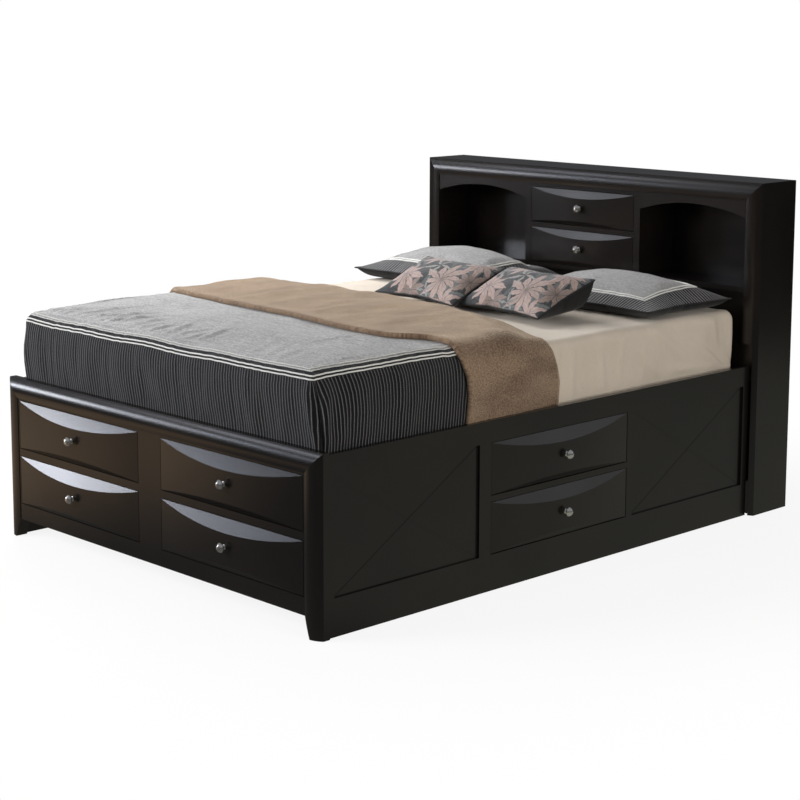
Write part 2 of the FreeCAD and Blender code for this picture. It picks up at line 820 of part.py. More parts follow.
def drawer_front(name, look):
    """A front with a bowed face, bevelled back above and below to its straight edges."""
    bay, opening, _, bow, top, bottom = look
    half = f"({bay} / 2 - front_gap)"
    height = f"({opening} - 2 * front_gap)"
    body = doc.addObject("PartDesign::Body", name + "_front_body")
    plan = [
        (f"-{half}", "0", "0", f"-{bow}"),
        (half, "0"),
        (half, "front_thick"),
        (f"-{half}", "front_thick"),
    ]
    pad(body, draw(body, name + "_plan", "XY_Plane", plan), height)
    past = f"{bow} + overrun"
    upper = [
        ("0", height),
        (f"-({past})", f"{height} - {top} * ({past}) / {bow}"),
        (f"-({past})", height),
    ]
    lower = [("0", "0"), (f"-({past})", "0"), (f"-({past})", f"{bottom} * ({past}) / {bow}")]
    for word, outline in (("upper", upper), ("lower", lower)):
        sketch = draw(body, f"{name}_{word}_facet", "YZ_Plane", outline)
        pocket(body, sketch, f"{half} + overrun")
    hole = body.newObject("Sketcher::SketchObject", name + "_screw_hole")
    support = [item for item in body.Origin.OriginFeatures if item.Role == "XZ_Plane"][0]
    hole.AttachmentSupport = [(support, "")]
    hole.MapMode = "FlatFace"
    radius = value("screw_radius + screw_clear")
    ring = hole.addGeometry(Part.Circle(Vector(0, value(f"{height} / 2"), 0), Vector(0, 0, 1), radius))
    pin(hole, "centre", ring, 3, "0", f"{height} / 2")
    size = hole.addConstraint(Sketcher.Constraint("Radius", ring, radius))
    hole.renameConstraint(size, "radius")
    bind(hole, "Constraints.radius", "screw_radius + screw_clear")
    pocket(body, hole, f"front_thick + {bow} + overrun")
    return body


def drawer_box(name, look, height):
    """The box behind the front: four walls, a floor between them and a slide bar on each side."""
    bay, opening, depth = look[:3]
    half = f"({bay} / 2 - slide_gap)"
    back = "front_thick + box_board"
    inner_depth = f"{depth} - 2 * box_board"
    knob = f"({opening} / 2)"
    inner_front = board(
        name + "_inner_front", f"-{half}", "front_thick", "box_lift",
        f"2 * {half}", "box_board", height,
    )
    drill = rod(
        name + "_drill", "screw_radius + screw_clear", "box_board + 2 * overrun",
        "0", "front_thick + box_board + overrun", knob, 90,
    )
    pieces = [cut(name + "_drilled_front", inner_front, drill)]
    pieces.append(board(
        name + "_back", f"-{half}", f"front_thick + {depth} - box_board", "box_lift",
        f"2 * {half}", "box_board", height,
    ))
    pieces += board_pair(
        name + "_side", f"{half} - box_board", back, "box_lift", "box_board", inner_depth, height,
    )
    pieces.append(board(
        name + "_floor", f"-{half} + box_board", back, "box_lift + box_floor_lift",
        f"2 * ({half} - box_board)", inner_depth, "box_floor",
    ))
    pieces += board_pair(
        name + "_bar", half, back, "box_lift + slide_rise - bar_height / 2",
        "bar_thick", f"{depth} - box_board", "bar_height",
    )
    return pieces


def slide_channels(name, look, wall):
    """The fixed channels of one drawer, open towards the drawer and at both ends."""
    bay, _, depth = look[:3]
    outer = board_pair(
        name + "_channel", f"{bay} / 2 - channel_depth", wall,
        "box_lift + slide_rise - slide_height / 2",
        "channel_depth", f"front_thick + {depth} - ({wall})", "slide_height",
    )
    hollow = board_pair(
        name + "_hollow", f"{bay} / 2 - channel_depth - overrun", f"{wall} - overrun",
        "box_lift + slide_rise - slide_height / 2 + slide_wall",
        "channel_depth - slide_wall + overrun",
        f"front_thick + {depth} - ({wall}) + 2 * overrun", "slide_height - 2 * slide_wall",
    )
    return [cut(f"{name}_track_{index}", *pair) for index, pair in enumerate(zip(outer, hollow))]


def knob(name, look):
    """A turned knob on the bowed face, and the screw that holds it from inside."""
    _, opening, _, bow, _, _ = look
    body = doc.addObject("PartDesign::Body", name + "_knob_body")
    bore = "(screw_radius + screw_clear)"
    neck = "(knob_reach - knob_neck)"
    rim = "(knob_reach - knob_neck + knob_rim)"
    dome = f"(knob_reach - {rim} - knob_rim)"
    ball = f"((knob_radius * knob_radius + {dome} * {dome}) / (2 * {dome}))"
    lean = f"atan({dome} / knob_radius)"
    outline = [
        (bore, "0"),
        ("knob_base_radius", "0"),
        ("knob_base_radius", "-knob_base_thick", "knob_stem_radius + knob_base_thick / 2",
         "-2 * knob_base_thick"),
        ("knob_stem_radius", f"-{neck} / 2"),
        ("knob_stem_radius", f"-{neck} + knob_rim"),
        ("knob_cone_radius", f"-{neck}"),
        ("knob_radius", f"-{rim}", "knob_radius + knob_rim / 4", f"-{rim} - knob_rim / 2"),
        ("knob_radius", f"-{rim} - knob_rim", f"{ball} * sin({lean})",
         f"-knob_reach + {ball} * (1 - cos({lean}))"),
        ("0", "-knob_reach"),
        ("0", "-screw_grip - screw_clear"),
        (bore, "-screw_grip - screw_clear"),
    ]
    sketch = draw(body, name + "_knob_section", "XY_Plane", outline)
    turned = body.newObject("PartDesign::Revolution", name + "_knob_turned")
    turned.Profile = sketch
    turned.ReferenceAxis = (sketch, ["V_Axis"])
    turned.Angle = 360.0
    place(body, y=f"-{bow}", z=f"{opening} / 2")
    inside = "front_thick + box_board"
    shank = rod(
        name + "_screw_shank", "screw_radius", f"{inside} + {bow} + screw_grip",
        "0", inside, f"{opening} / 2", 90,
    )
    head = rod(
        name + "_screw_head", "screw_head_radius", "screw_head_thick",
        "0", f"{inside} + screw_head_thick", f"{opening} / 2", 90,
    )
    screw = doc.addObject("Part::Fuse", name + "_screw")
    screw.Base = shank
    screw.Tool = head
    return [body, screw]


def drawers():
    tracks = []
    for name, spot, turn, wall, height, look in drawer_rows():
        x, y, z = spot
        front = drawer_front(name, look)
        node(f"{name}_drawer_front", [front], x, f"origin_y + {y}", f"{z} + front_gap", turn)
        box = drawer_box(name, look, height)
        node(f"{name}_drawer_box", box, x, f"origin_y + {y}", z, turn)
        node(f"{name}_drawer_knob", knob(name, look), x, f"origin_y + {y}", z, turn)
        pair = doc.addObject("Part::Compound", name + "_tracks")
        pair.Links = slide_channels(name, look, wall)
        place(pair, x, y, z, turn)
        tracks.append(pair)
    node("drawer_slides", tracks)


def closed_wire(entries):
    """A closed wire through points, with an arc where an entry holds a second point to pass."""
    edges = []
    for index, entry in enumerate(entries):
        here = entry[0]
        there = entries[(index + 1) % len(entries)][0]
        if len(entry) == 1:
            edges.append(Part.LineSegment(here, there).toShape())
        else:
            edges.append(Part.Arc(here, entry[1], there).toShape())
    return Part.Wire(edges)


def feature(label, shape, x="0", y="0", z="0"):
    """A sub-part whose shape is worked out from the sheet's sizes, on its own placement."""
    item = doc.addObject("Part::Feature", label)
    item.Shape = shape
    item.Label = label
    place(item, x, f"origin_y + {y}", z)
    NODES[label] = item
    return item


def mattress():
    block = board(
        "mattress_block", "-mattress_width / 2", "mattress_foot_room", "base_height",
        "mattress_width", "mattress_length", "mattress_thick",
    )
    doc.recompute()
    rounded = doc.addObject("Part::Fillet", "mattress")
    rounded.Base = block
    radius = value("mattress_round")
    rounded.Edges = [(index + 1, radius, radius) for index in range(len(block.Shape.Edges))]
    place(rounded, y="origin_y")
    rounded.Label = "mattress"
    NODES["mattress"] = rounded


def bedding_across(grow):
    """The cloth's section across the bed: tucked at the bottom, bulging, then crowned on top."""
    half = value("mattress_width") / 2
    tuck = half + value("comforter_tuck") + grow
    bulge = half + value("comforter_bulge") + grow
    low = value("comforter_low")
    rim = value("side_height")
    swell = value("mattress_top - mattress_thick + comforter_bulge_height")
    edge = value("mattress_top + comforter_edge") + grow
    crown = edge + value("comforter_crown")
    shoulder = tuck - value("comforter_tuck") / 4
    start = value("foot_face_set - overrun")
    return closed_wire([
        (Vector(-tuck, start, low),),
        (Vector(tuck, start, low),),
        (Vector(tuck, start, rim), Vector(bulge, start, swell)),
        (Vector(shoulder, start, edge), Vector(0, start, crown)),
        (Vector(-shoulder, start, edge), Vector(-bulge, start, swell)),
        (Vector(-tuck, start, rim),),
    ])


def bedding_along(grow, reach):
    """The cloth's section along the bed: the foot end bulges over the footboard's back, and the
    top runs down to its end."""
    foot = value("mattress_foot_room")
    tuck = foot - value("comforter_front_tuck") - grow
    bulge = foot - value("comforter_front_bulge") - grow
    low = value("comforter_low - overrun")
    rim = value("foot_height")
    swell = value("mattress_top - mattress_thick + comforter_bulge_height")
    edge = value("mattress_top + comforter_edge") + grow
    crown = edge + value("comforter_crown")
    side = -value("mattress_width")
    end = foot + reach
    finish = value("mattress_top + throw_head_height") + grow
    drop_start = end - value("comforter_drop")
    fall = (edge + finish) / 2 + value("comforter_crown") / 2
    turn_down = Vector(side, (drop_start + end) / 2, fall)
    return closed_wire([
        (Vector(side, tuck, low),),
        (Vector(side, tuck, rim), Vector(side, bulge, swell)),
        (Vector(side, tuck, edge), Vector(side, (tuck + drop_start) / 2, crown)),
        (Vector(side, drop_start, edge), turn_down),
        (Vector(side, end, finish),),
        (Vector(side, end, low),),
    ])


def bedding_solid(grow, reach):
    across = Part.Face(bedding_across(grow)).extrude(Vector(0, value("bed_length"), 0))
    along = Part.Face(bedding_along(grow, reach)).extrude(Vector(2 * value("mattress_width"), 0, 0))
    return across.common((along,), value("join_tolerance"))


def mattress_room():
    """The block that the cloth lies on, one cloth gap larger than the mattress."""
    gap = value("cloth_gap")
    width = value("mattress_width") + 2 * gap
    corner = Vector(-width / 2, value("mattress_foot_room") - gap, 0)
    return Part.makeBox(width, value("bed_length"), value("mattress_top") + gap, corner)


# Plans of the throw and of the comforter's head end: shares of the mattress's half width across, and
# of its length along.
THROW_FOOT_SHARES = (
    (-1.1, 0.29), (-0.88, 0.282), (-0.385, 0.253), (0.155, 0.242), (0.53, 0.223), (0.73, 0.234),
    (0.87, 0.27), (0.96, 0.275), (1.1, 0.29),
)
THROW_HEAD_SHARES = (
    (1.1, 0.505), (0.92, 0.502), (0.74, 0.534), (0.58, 0.566), (0.25, 0.594), (-1.1, 0.606),
)
COMFORTER_FOOT_SHARES = ((-1.1, -0.1), (1.1, -0.1))
COMFORTER_HEAD_SHARES = ((1.1, 0.46), (0.9, 0.462), (0.6, 0.515), (0.25, 0.55), (-1.1, 0.562))


def plan_prism(shares):
    """A tall prism over a plan that is given in shares of the mattress."""
    half = value("mattress_width") / 2
    length = value("mattress_length")
    corners = [
        (Vector(x * half, value("mattress_foot_room") + y * length, 0),) for x, y in shares
    ]
    return Part.Face(closed_wire(corners)).extrude(Vector(0, 0, value("bed_height")))


def bedding():
    cover = bedding_solid(0, value("comforter_reach")).cut(mattress_room())
    feature("comforter", cover.common(plan_prism(COMFORTER_FOOT_SHARES + COMFORTER_HEAD_SHARES)))
    gap = value("cloth_gap")
    cloth = bedding_solid(gap + value("throw_thick"), value("throw_reach"))
    cloth = cloth.cut(bedding_solid(gap, value("comforter_reach") + gap)).cut(mattress_room())
    feature("throw", cloth.common(plan_prism(THROW_FOOT_SHARES + THROW_HEAD_SHARES)))


# Levels of a pillow from its seam: share of the rise, share of the size, share drawn in at the sides.
PILLOW_TOP_SHARES = ((0.0, 1.0, 0.035), (0.42, 0.93, 0.01), (0.8, 0.74, -0.03), (1.0, 0.4, -0.07))
PILLOW_UNDER_SHARES = ((0.0, 1.0, 0.035), (0.6, 0.9, 0.01), (1.0, 0.72, -0.03))


def pillow_level(width, depth, height, pull):
    """One level of a pillow: four arcs between the corners, drawn in where pull is above zero."""
    corners = [(-width / 2, -depth / 2), (width / 2, -depth / 2), (width / 2, depth / 2),
               (-width / 2, depth / 2)]
    entries = []
    for index, (x, y) in enumerate(corners):
        other_x, other_y = corners[(index + 1) % len(corners)]
        middle = Vector((x + other_x) / 2 * (1 - 2 * pull), (y + other_y) / 2 * (1 - 2 * pull), height)
        entries.append((Vector(x, y, height), middle))
    return closed_wire(entries)


def pillow(width, depth, rise, sag):
    """A pillow about its seam: crowned above, flatter where it lies."""
    top = [
        pillow_level(width * size, depth * size, rise * up, pull)
        for up, size, pull in PILLOW_TOP_SHARES
    ]
    under = [
        pillow_level(width * size, depth * size, -sag * down, pull)
        for down, size, pull in PILLOW_UNDER_SHARES
    ]
    return Part.makeLoft(top, True).fuse(Part.makeLoft(under, True))


def pillows():
    top = "mattress_top + cloth_gap"
    for word, side in (("left", -1), ("right", 1)):
        sham = pillow(
            value("sham_width"), value("sham_depth"), value("sham_rise"), value("sham_sag")
        )
        along = "mattress_head - sham_head_room - sham_depth / 2"
        feature(f"{word}_sham", sham, f"{side} * sham_spread", along, f"{top} + sham_sag")
    lean = Rotation(Vector(1, 0, 0), value("accent_tilt"))
    turn = Rotation(Vector(0, 0, 1), -value("accent_turn"))
    for word, side in (("left", -1), ("right", 1)):
        cushion = pillow(
            value("accent_size"), value("accent_size"), value("accent_rise"), value("accent_sag")
        )
        item = feature(
            f"{word}_accent_pillow", cushion, f"{side} * accent_spread + accent_shift",
            f"mattress_head - accent_back + ({side} - 1) * accent_step",
            f"{top} + accent_size / 2 * sin(accent_tilt) + accent_ease",
        )
        item.Placement.Rotation = turn.multiply(lean)


footboard()
side_frame("right", 1)
side_frame("left", -1)
side_panels()
headboard()
base()
brackets()
drawers()
mattress()
bedding()
pillows()
doc.recompute()

for item in doc.Objects:
    if {"Invalid", "Error"} & set(item.State):
        raise RuntimeError(f"{item.Name} failed: {item.State}")
for label, item in NODES.items():
    if item.Shape.isNull() or not item.Shape.isValid():
        raise RuntimeError(label + " has no valid shape")

os.makedirs("parts", exist_ok=True)
for label, item in NODES.items():
    item.Shape.exportStep(f"parts/{label}.step")
print(len(NODES), "nodes")
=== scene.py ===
import logging
import math
from dataclasses import dataclass, field
from enum import Enum
from functools import partial
from typing import Callable, Iterable, Sequence

import bmesh
import bpy
import numpy as np
from mathutils import Matrix, Vector


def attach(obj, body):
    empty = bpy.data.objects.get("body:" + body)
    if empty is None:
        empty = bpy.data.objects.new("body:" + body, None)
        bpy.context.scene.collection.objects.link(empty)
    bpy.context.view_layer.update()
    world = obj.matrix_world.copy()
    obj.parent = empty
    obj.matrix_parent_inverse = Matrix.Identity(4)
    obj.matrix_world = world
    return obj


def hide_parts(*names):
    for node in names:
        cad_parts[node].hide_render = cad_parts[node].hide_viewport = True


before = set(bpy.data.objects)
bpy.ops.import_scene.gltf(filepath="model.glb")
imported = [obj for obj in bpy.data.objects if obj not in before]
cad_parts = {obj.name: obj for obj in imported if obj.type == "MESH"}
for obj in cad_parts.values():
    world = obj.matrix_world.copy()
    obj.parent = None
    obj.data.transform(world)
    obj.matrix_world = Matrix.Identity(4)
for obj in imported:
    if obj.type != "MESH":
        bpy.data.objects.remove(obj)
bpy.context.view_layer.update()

# Looks of a storage bed with a bookcase headboard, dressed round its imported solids. Metres, Z up.
# Bedding is laid out in millimetres with Y counted from the face of the footboard, as a tailor
# would measure it, and then moved into the row's frame.

log = logging.getLogger("bed")

BODY = "bed_frame"
MM = 0.001
FOOT_FACE_Y = -1.1365
TAU = 2.0 * math.pi

Array = np.ndarray
Object = bpy.types.Object
Material = bpy.types.Material
Socket = bpy.types.NodeSocket
Tree = bpy.types.NodeTree
Adder = Callable[..., Socket]


class Slot(str, Enum):
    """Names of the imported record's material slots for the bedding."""

    SHEET = "sheet_fabric"
    COMFORTER = "comforter_fabric"
    THROW = "throw_fabric"
    SHAM = "sham_fabric"
    PRINT = "print_fabric"


def to_row(points: Array) -> Array:
    """Moves points from the bed maker's millimetres into the row's frame.

    Args:
        points: An array whose last axis is x, y, z in millimetres.

    Returns:
        The same points in metres, in the row's frame.
    """
    moved = np.asarray(points, float) * MM
    moved[..., 1] += FOOT_FACE_Y
    return moved


def smooth_step(value: Array) -> Array:
    """Eases a ramp between 0 and 1.

    Args:
        value: Any numbers.

    Returns:
        0 below 0, 1 above 1 and a smooth rise between.
    """
    held = np.clip(value, 0.0, 1.0)
    return held * held * (3.0 - 2.0 * held)


def linear(code: str) -> tuple[float, float, float, float]:
    """Turns an sRGB hex code into the linear colour that a socket takes.

    Args:
        code: Six hex digits, with or without a leading #.

    Returns:
        Linear red, green, blue and an alpha of 1.
    """
    code = code.lstrip("#")
    parts = [int(code[i:i + 2], 16) / 255.0 for i in (0, 2, 4)]
    curve = [c / 12.92 if c <= 0.04045 else ((c + 0.055) / 1.055) ** 2.4 for c in parts]
    return curve[0], curve[1], curve[2], 1.0


class Ripples:
    """A smooth field of many seeded waves, the same on each run."""

    def __init__(
        self, seed: int, shortest: float, longest: float,
        stretch: tuple[float, float] = (1.0, 1.0), count: int = 24,
    ) -> None:
        """Draws the waves.

        Args:
            seed: Seed of the draw.
            shortest: Shortest wavelength, in the units of the coordinates.
            longest: Longest wavelength.
            stretch: How much longer the waves are along each axis.
            count: Number of waves.
        """
        draw = np.random.default_rng(seed)
        angle = draw.uniform(0.0, TAU, count)
        length = draw.uniform(shortest, longest, count)
        self.across = TAU / length * np.cos(angle) / stretch[0]
        self.along = TAU / length * np.sin(angle) / stretch[1]
        self.phase = draw.uniform(0.0, TAU, count)
        self.scale = math.sqrt(2.0 / count)

    def __call__(self, u: Array, v: Array) -> Array:
        """Gives the field's height.

        Args:
            u: First coordinate.
            v: Second coordinate, of the same shape.

        Returns:
            Heights of about unit spread.
        """
        total = np.zeros(np.broadcast(u, v).shape)
        for across, along, phase in zip(self.across, self.along, self.phase):
            total += np.cos(across * u + along * v + phase)
        return total * self.scale


# ---- meshes ----


@dataclass
class Patch:
    """A rectangular grid of points with its own marks and one material.

    Attributes:
        points: rows x columns x 3, in metres.
        marks: rows x columns x 2, the UV in metres.
        pick: Material index of each row of faces, or one for all.
        flip: Whether the faces turn the other way.
    """

    points: Array
    marks: Array
    pick: Sequence[int] | int = 0
    flip: bool = False

    def faces(self, start: int) -> tuple[Array, Array]:
        """Lists the grid's quads.

        Args:
            start: Index of the grid's first point.

        Returns:
            Quads and the material index of each.
        """
        rows, columns = self.points.shape[:2]
        index = start + np.arange(rows * columns).reshape(rows, columns)
        a, b = index[:-1, :-1], index[:-1, 1:]
        c, d = index[1:, 1:], index[1:, :-1]
        order = (a, d, c, b) if self.flip else (a, b, c, d)
        quads = np.stack(order, -1).reshape(-1, 4)
        if isinstance(self.pick, int):
            picks = np.full(len(quads), self.pick)
        else:
            picks = np.repeat(np.asarray(self.pick), columns - 1)
        return quads, picks


def patch_object(
    name: str, patches: Sequence[Patch], materials: Sequence[Material], weld: float = 1e-5,
) -> Object:
    """Joins grids into one smooth object.

    Args:
        name: Name of the piece.
        patches: The grids.
        materials: Materials in slot order.
        weld: Points nearer than this become one.

    Returns:
        The new object, linked to the scene.
    """
    points, quads, picks, marks, start = [], [], [], [], 0
    for patch in patches:
        faces, chosen = patch.faces(start)
        points.append(patch.points.reshape(-1, 3))
        marks.append(patch.marks.reshape(-1, 2))
        quads.append(faces)
        picks.append(chosen)
        start += points[-1].shape[0]
    all_points, all_quads = np.concatenate(points), np.concatenate(quads)
    mesh = bpy.data.meshes.new(name)
    mesh.from_pydata(all_points.tolist(), [], all_quads.tolist())
    corners = np.concatenate(marks)[all_quads.ravel()].astype(np.float32)
    mesh.uv_layers.new(name="UVMap").data.foreach_set("uv", corners.ravel())
    piece = add_object(name, mesh, materials)
    mesh.polygons.foreach_set("material_index", np.concatenate(picks).astype(np.int32))
    work = bmesh.new()
    work.from_mesh(mesh)
    bmesh.ops.remove_doubles(work, verts=work.verts, dist=weld)
    bmesh.ops.recalc_face_normals(work, faces=work.faces)
    if work.calc_volume(signed=True) < 0.0:
        bmesh.ops.reverse_faces(work, faces=work.faces)
    work.to_mesh(mesh)
    work.free()
    mesh.shade_smooth()
    return piece


def add_object(name: str, mesh: bpy.types.Mesh, materials: Iterable[Material]) -> Object:
    """Puts a mesh into the scene.

    Args:
        name: Name of the object.
        mesh: Its mesh, in the row's frame.
        materials: Materials in slot order.

    Returns:
        The new object.
    """
    piece = bpy.data.objects.new(name, mesh)
    for material in materials:
        mesh.materials.append(material)
    bpy.context.scene.collection.objects.link(piece)
    return piece


def baked(piece: Object) -> Object:
    """Turns an object's modifiers into plain mesh.

    Args:
        piece: An object with modifiers.

    Returns:
        The same object, with none.
    """
    graph = bpy.context.evaluated_depsgraph_get()
    mesh = bpy.data.meshes.new_from_object(piece.evaluated_get(graph))
    piece.modifiers.clear()
    old = piece.data
    piece.data = mesh
    bpy.data.meshes.remove(old)
    mesh.name = piece.name
    return piece


def thickened(piece: Object, depth: float, offset: float) -> Object:
    """Gives a surface a real thickness.

    Args:
        piece: An open surface.
        depth: Thickness in metres.
        offset: -1 to grow inwards, 0 to both sides, 1 outwards.

    Returns:
        The piece, closed.
    """
    solid = piece.modifiers.new("thickness", "SOLIDIFY")
    solid.thickness, solid.offset, solid.use_even_offset = depth, offset, False
    return baked(piece)


def unit(vectors: Array) -> Array:
    """Gives vectors a length of 1, or leaves them at nothing."""
    return vectors / np.maximum(np.linalg.norm(vectors, axis=-1, keepdims=True), 1e-9)


def distances(line: Array) -> Array:
    """Gives the distance along a line from its start to each of its points."""
    return np.r_[0.0, np.cumsum(np.linalg.norm(np.diff(line, axis=0), axis=1))]


def normals_of(points: Array) -> Array:
    """Finds a grid's unit normals.

    Args:
        points: rows x columns x 3.

    Returns:
        The normals, of the same shape.
    """
    down, over = np.gradient(points, axis=0), np.gradient(points, axis=1)
    return unit(np.cross(over, down))


# ---- nodes ----

PLUS, MINUS, TIMES, OVER = "Math.ADD", "Math.SUBTRACT", "Math.MULTIPLY", "Math.DIVIDE"
LEAST, MOST, ABOVE = "Math.MINIMUM", "Math.MAXIMUM", "Math.GREATER_THAN"
SIZE, FRACTION, SINE = "Math.ABSOLUTE", "Math.FRACT", "Math.SINE"
MIX, BLEND, RANGE, BUMP, SPOTS = "Mix", "MixShader", "MapRange", "Bump", "TexCoord"
EASED = {"interpolation_type": "SMOOTHSTEP"}
COLOUR = {"data_type": "RGBA", "out": 2}


def add(
    tree: Tree, kind: str, *given: object, out: int | str = 0, **settings: object,
) -> Socket | None:
    """Adds one node with its settings and links.

    Args:
        tree: The tree it goes into.
        kind: The node's type, less any ShaderNode before it; its operation follows after a dot.
        *given: Its inputs in order, each a value or a socket, or one dict of them by name or index.
        out: The output that is wanted.
        **settings: The node's own properties.

    Returns:
        That output, or None from a node that has none.
    """
    kind, _, operation = kind.partition(".")
    if operation:
        settings["operation"] = operation
    whole = kind if kind.startswith(("Geometry", "NodeGroup")) else "ShaderNode" + kind
    node = tree.nodes.new(whole)
    for name, setting in settings.items():
        setattr(node, name, setting)
    inputs = given[0] if given and isinstance(given[0], dict) else dict(enumerate(given))
    for key, value in inputs.items():
        if isinstance(value, bpy.types.NodeSocket):
            tree.links.new(value, node.inputs[key])
        else:
            node.inputs[key].default_value = value
    return node.outputs[out] if len(node.outputs) else None


def per_metre(size: float) -> float:
    """Gives how many grains of a size in millimetres go to the metre, to two figures."""
    return float(f"{1.0 / (size * MM):.2g}")


def blank(name: str) -> tuple[Material, Adder]:
    """Starts an empty material.

    Args:
        name: Its name.

    Returns:
        The material, and what adds a node to it.
    """
    material = bpy.data.materials.new(name)
    material.use_nodes = True
    material.node_tree.nodes.clear()
    return material, partial(add, material.node_tree)


# ---- finishes ----


class Source(str, Enum):
    """What a pattern is fixed to."""

    OBJECT = "Object"
    UV = "UV"


class Grain(Enum):
    """Way that the grain of a board runs; a pattern is stretched twenty times along it."""

    ACROSS = (0.05, 1.0, 1.0)
    ALONG = (1.0, 0.05, 1.0)
    UPRIGHT = (1.0, 1.0, 0.05)


@dataclass(frozen=True)
class Pattern:
    """An irregular pattern of a real size.

    Attributes:
        size: Width of one of its grains, in millimetres.
        detail: Octaves of finer grain in it.
        stretch: How many grains there are along each axis for one of that size.
        rough: Share of each finer octave.
        source: What it is fixed to.
    """

    size: float
    detail: float = 3.0
    stretch: tuple[float, float, float] = (1.0, 1.0, 1.0)
    rough: float = 0.5
    source: Source = Source.OBJECT

    def lay(self, node: Adder) -> Socket:
        """Lays the pattern into a material.

        Args:
            node: Adds a node to the material.

        Returns:
            Its values, from 0 to 1.
        """
        spot = node(SPOTS, out=self.source.value)
        spot = node("Mapping", {"Vector": spot, "Scale": self.stretch})
        return node("TexNoise", {
            "Vector": spot, "Scale": per_metre(self.size), "Detail": self.detail,
            "Roughness": self.rough,
        })


@dataclass(frozen=True)
class Finish:
    """A real material, by a maker's name for it, and how its surface was made."""

    name: str

    def build(self) -> Material:
        """Makes the material.

        Returns:
            The material.
        """
        material, node = blank(self.name)
        node("OutputMaterial", node("BsdfPrincipled", self.surface(node)))
        return material

    def surface(self, node: Adder) -> dict[str, object]:
        """Adds the finish's patterns.

        Args:
            node: Adds a node to the material.

        Returns:
            The shader's inputs by name.
        """
        raise NotImplementedError


@dataclass(frozen=True)
class Lacquer(Finish):
    """Fine-grained hardwood, stained black and sprayed with semi-gloss nitrocellulose lacquer.

    The eye gets a near-black that is warm where light falls on it, a mirror that is a little
    soft, and a grain that shows only close up.

    Attributes:
        dark: Main colour.
        warm: Colour of the lighter clouds.
        grain: Way of the grain.
        rough: Least and most roughness; a semi-gloss lacquer has 0.2 to 0.3.
    """

    dark: str = "#0F0D0C"
    warm: str = "#191512"
    grain: Grain = Grain.ACROSS
    rough: tuple[float, float] = (0.225, 0.26)

    def surface(self, node: Adder) -> dict[str, object]:
        """Adds the stain's clouds, the pores and the lacquer's gloss.

        Args:
            node: Adds a node to the material.

        Returns:
            The shader's inputs by name.
        """
        # Real pores are 0.2 mm wide; they are drawn 4 mm wide and 77 mm long, to show at all.
        pores = Pattern(3.85, 4.0, self.grain.value, 0.62).lay(node)
        # The stain soaked in unevenly, in clouds about 0.4 m wide.
        clouds = node(RANGE, Pattern(435.0, 2.0).lay(node), 0.35, 0.7, **EASED)
        stain = node(MIX, {
            0: node(TIMES, clouds, 0.75), 6: linear(self.dark), 7: linear(self.warm)}, **COLOUR)
        pits = node(TIMES, node(RANGE, pores, 0.5, 0.72, **EASED), 0.22)
        # Spraying and rubbing leave the gloss uneven over about a third of a metre.
        gloss = node(RANGE, Pattern(333.3, 2.0).lay(node), 0.3, 0.7, *self.rough)
        return {
            "Base Color": node(MIX, {0: pits, 6: stain, 7: linear("#080706")}, **COLOUR),
            "Roughness": gloss, "Specular IOR Level": 0.5, "IOR": 1.5,
            # The lacquer fills the pores but for 0.03 mm.
            "Normal": node(BUMP, {"Height": pores, "Distance": 0.03 * MM, "Strength": 0.4}),
        }


@dataclass(frozen=True)
class PlainWood(Finish):
    """Planed poplar under a thin clear sealer, for the drawer boxes and slats.

    The eye gets a pale straw colour with long brown streaks and a dull shine.

    Attributes:
        pale: Colour of the early wood.
        dark: Colour of the late wood.
        grain: Way of the grain.
    """

    pale: str = "#C9A67B"
    dark: str = "#A57F55"
    grain: Grain = Grain.ACROSS

    def surface(self, node: Adder) -> dict[str, object]:
        """Adds the year rings, the fibres and slightly broken edges.

        Args:
            node: Adds a node to the material.

        Returns:
            The shader's inputs by name.
        """
        # Streaks of the year rings in flat-sawn poplar stand about 90 mm apart at their widest.
        rings = Pattern(90.9, 5.0, self.grain.value, 0.6).lay(node)
        # Fibre bundles are 0.5 mm wide and are drawn 8 mm wide, to show.
        fibres = Pattern(7.7, 3.0, self.grain.value).lay(node)
        streaks = node(RANGE, rings, 0.35, 0.7, **EASED)
        share = node(PLUS, streaks, node(TIMES, fibres, 0.35))
        share = node(TIMES, share, 0.6, use_clamp=True)
        # Sanding breaks the edges by about 1.2 mm.
        edge = node("Bevel", {"Radius": 1.2 * MM}, samples=3)
        return {
            "Base Color": node(MIX, {0: share, 6: linear(self.pale), 7: linear(self.dark)},
                              **COLOUR),
            "Roughness": node(RANGE, rings, 0.0, 1.0, 0.42, 0.6),
            "Normal": node(BUMP, {
                "Height": fibres, "Distance": 0.15 * MM, "Strength": 0.5, "Normal": edge}),
        }


@dataclass(frozen=True)
class Metal(Finish):
    """Die-cast or pressed metal with a plated surface.

    The eye gets a pale metal whose highlights are soft and slightly uneven.

    Attributes:
        colour: Its tint.
        rough: Least and most roughness; brushed plating has 0.2 to 0.45.
    """

    colour: str = "#E4E1DB"
    rough: tuple[float, float] = (0.2, 0.32)

    def surface(self, node: Adder) -> dict[str, object]:
        """Adds fine scratches, handling marks and a faint tarnish.

        Args:
            node: Adds a node to the material.

        Returns:
            The shader's inputs by name.
        """
        # The grit leaves scratches 0.1 mm apart, drawn 1.1 mm apart, to show.
        scratches = Pattern(1.11).lay(node)
        # Marks of handling are as wide as a finger tip, about 17 mm.
        marks = Pattern(16.7).lay(node)
        tarnish = node(TIMES, marks, 0.15)
        return {
            "Base Color": node(MIX, {0: tarnish, 6: linear(self.colour), 7: linear("#8C8780")},
                              **COLOUR),
            "Roughness": node(RANGE, marks, 0.3, 0.7, *self.rough), "Metallic": 1.0,
            "Normal": node(BUMP, {"Height": scratches, "Distance": 0.04 * MM, "Strength": 0.4}),
        }


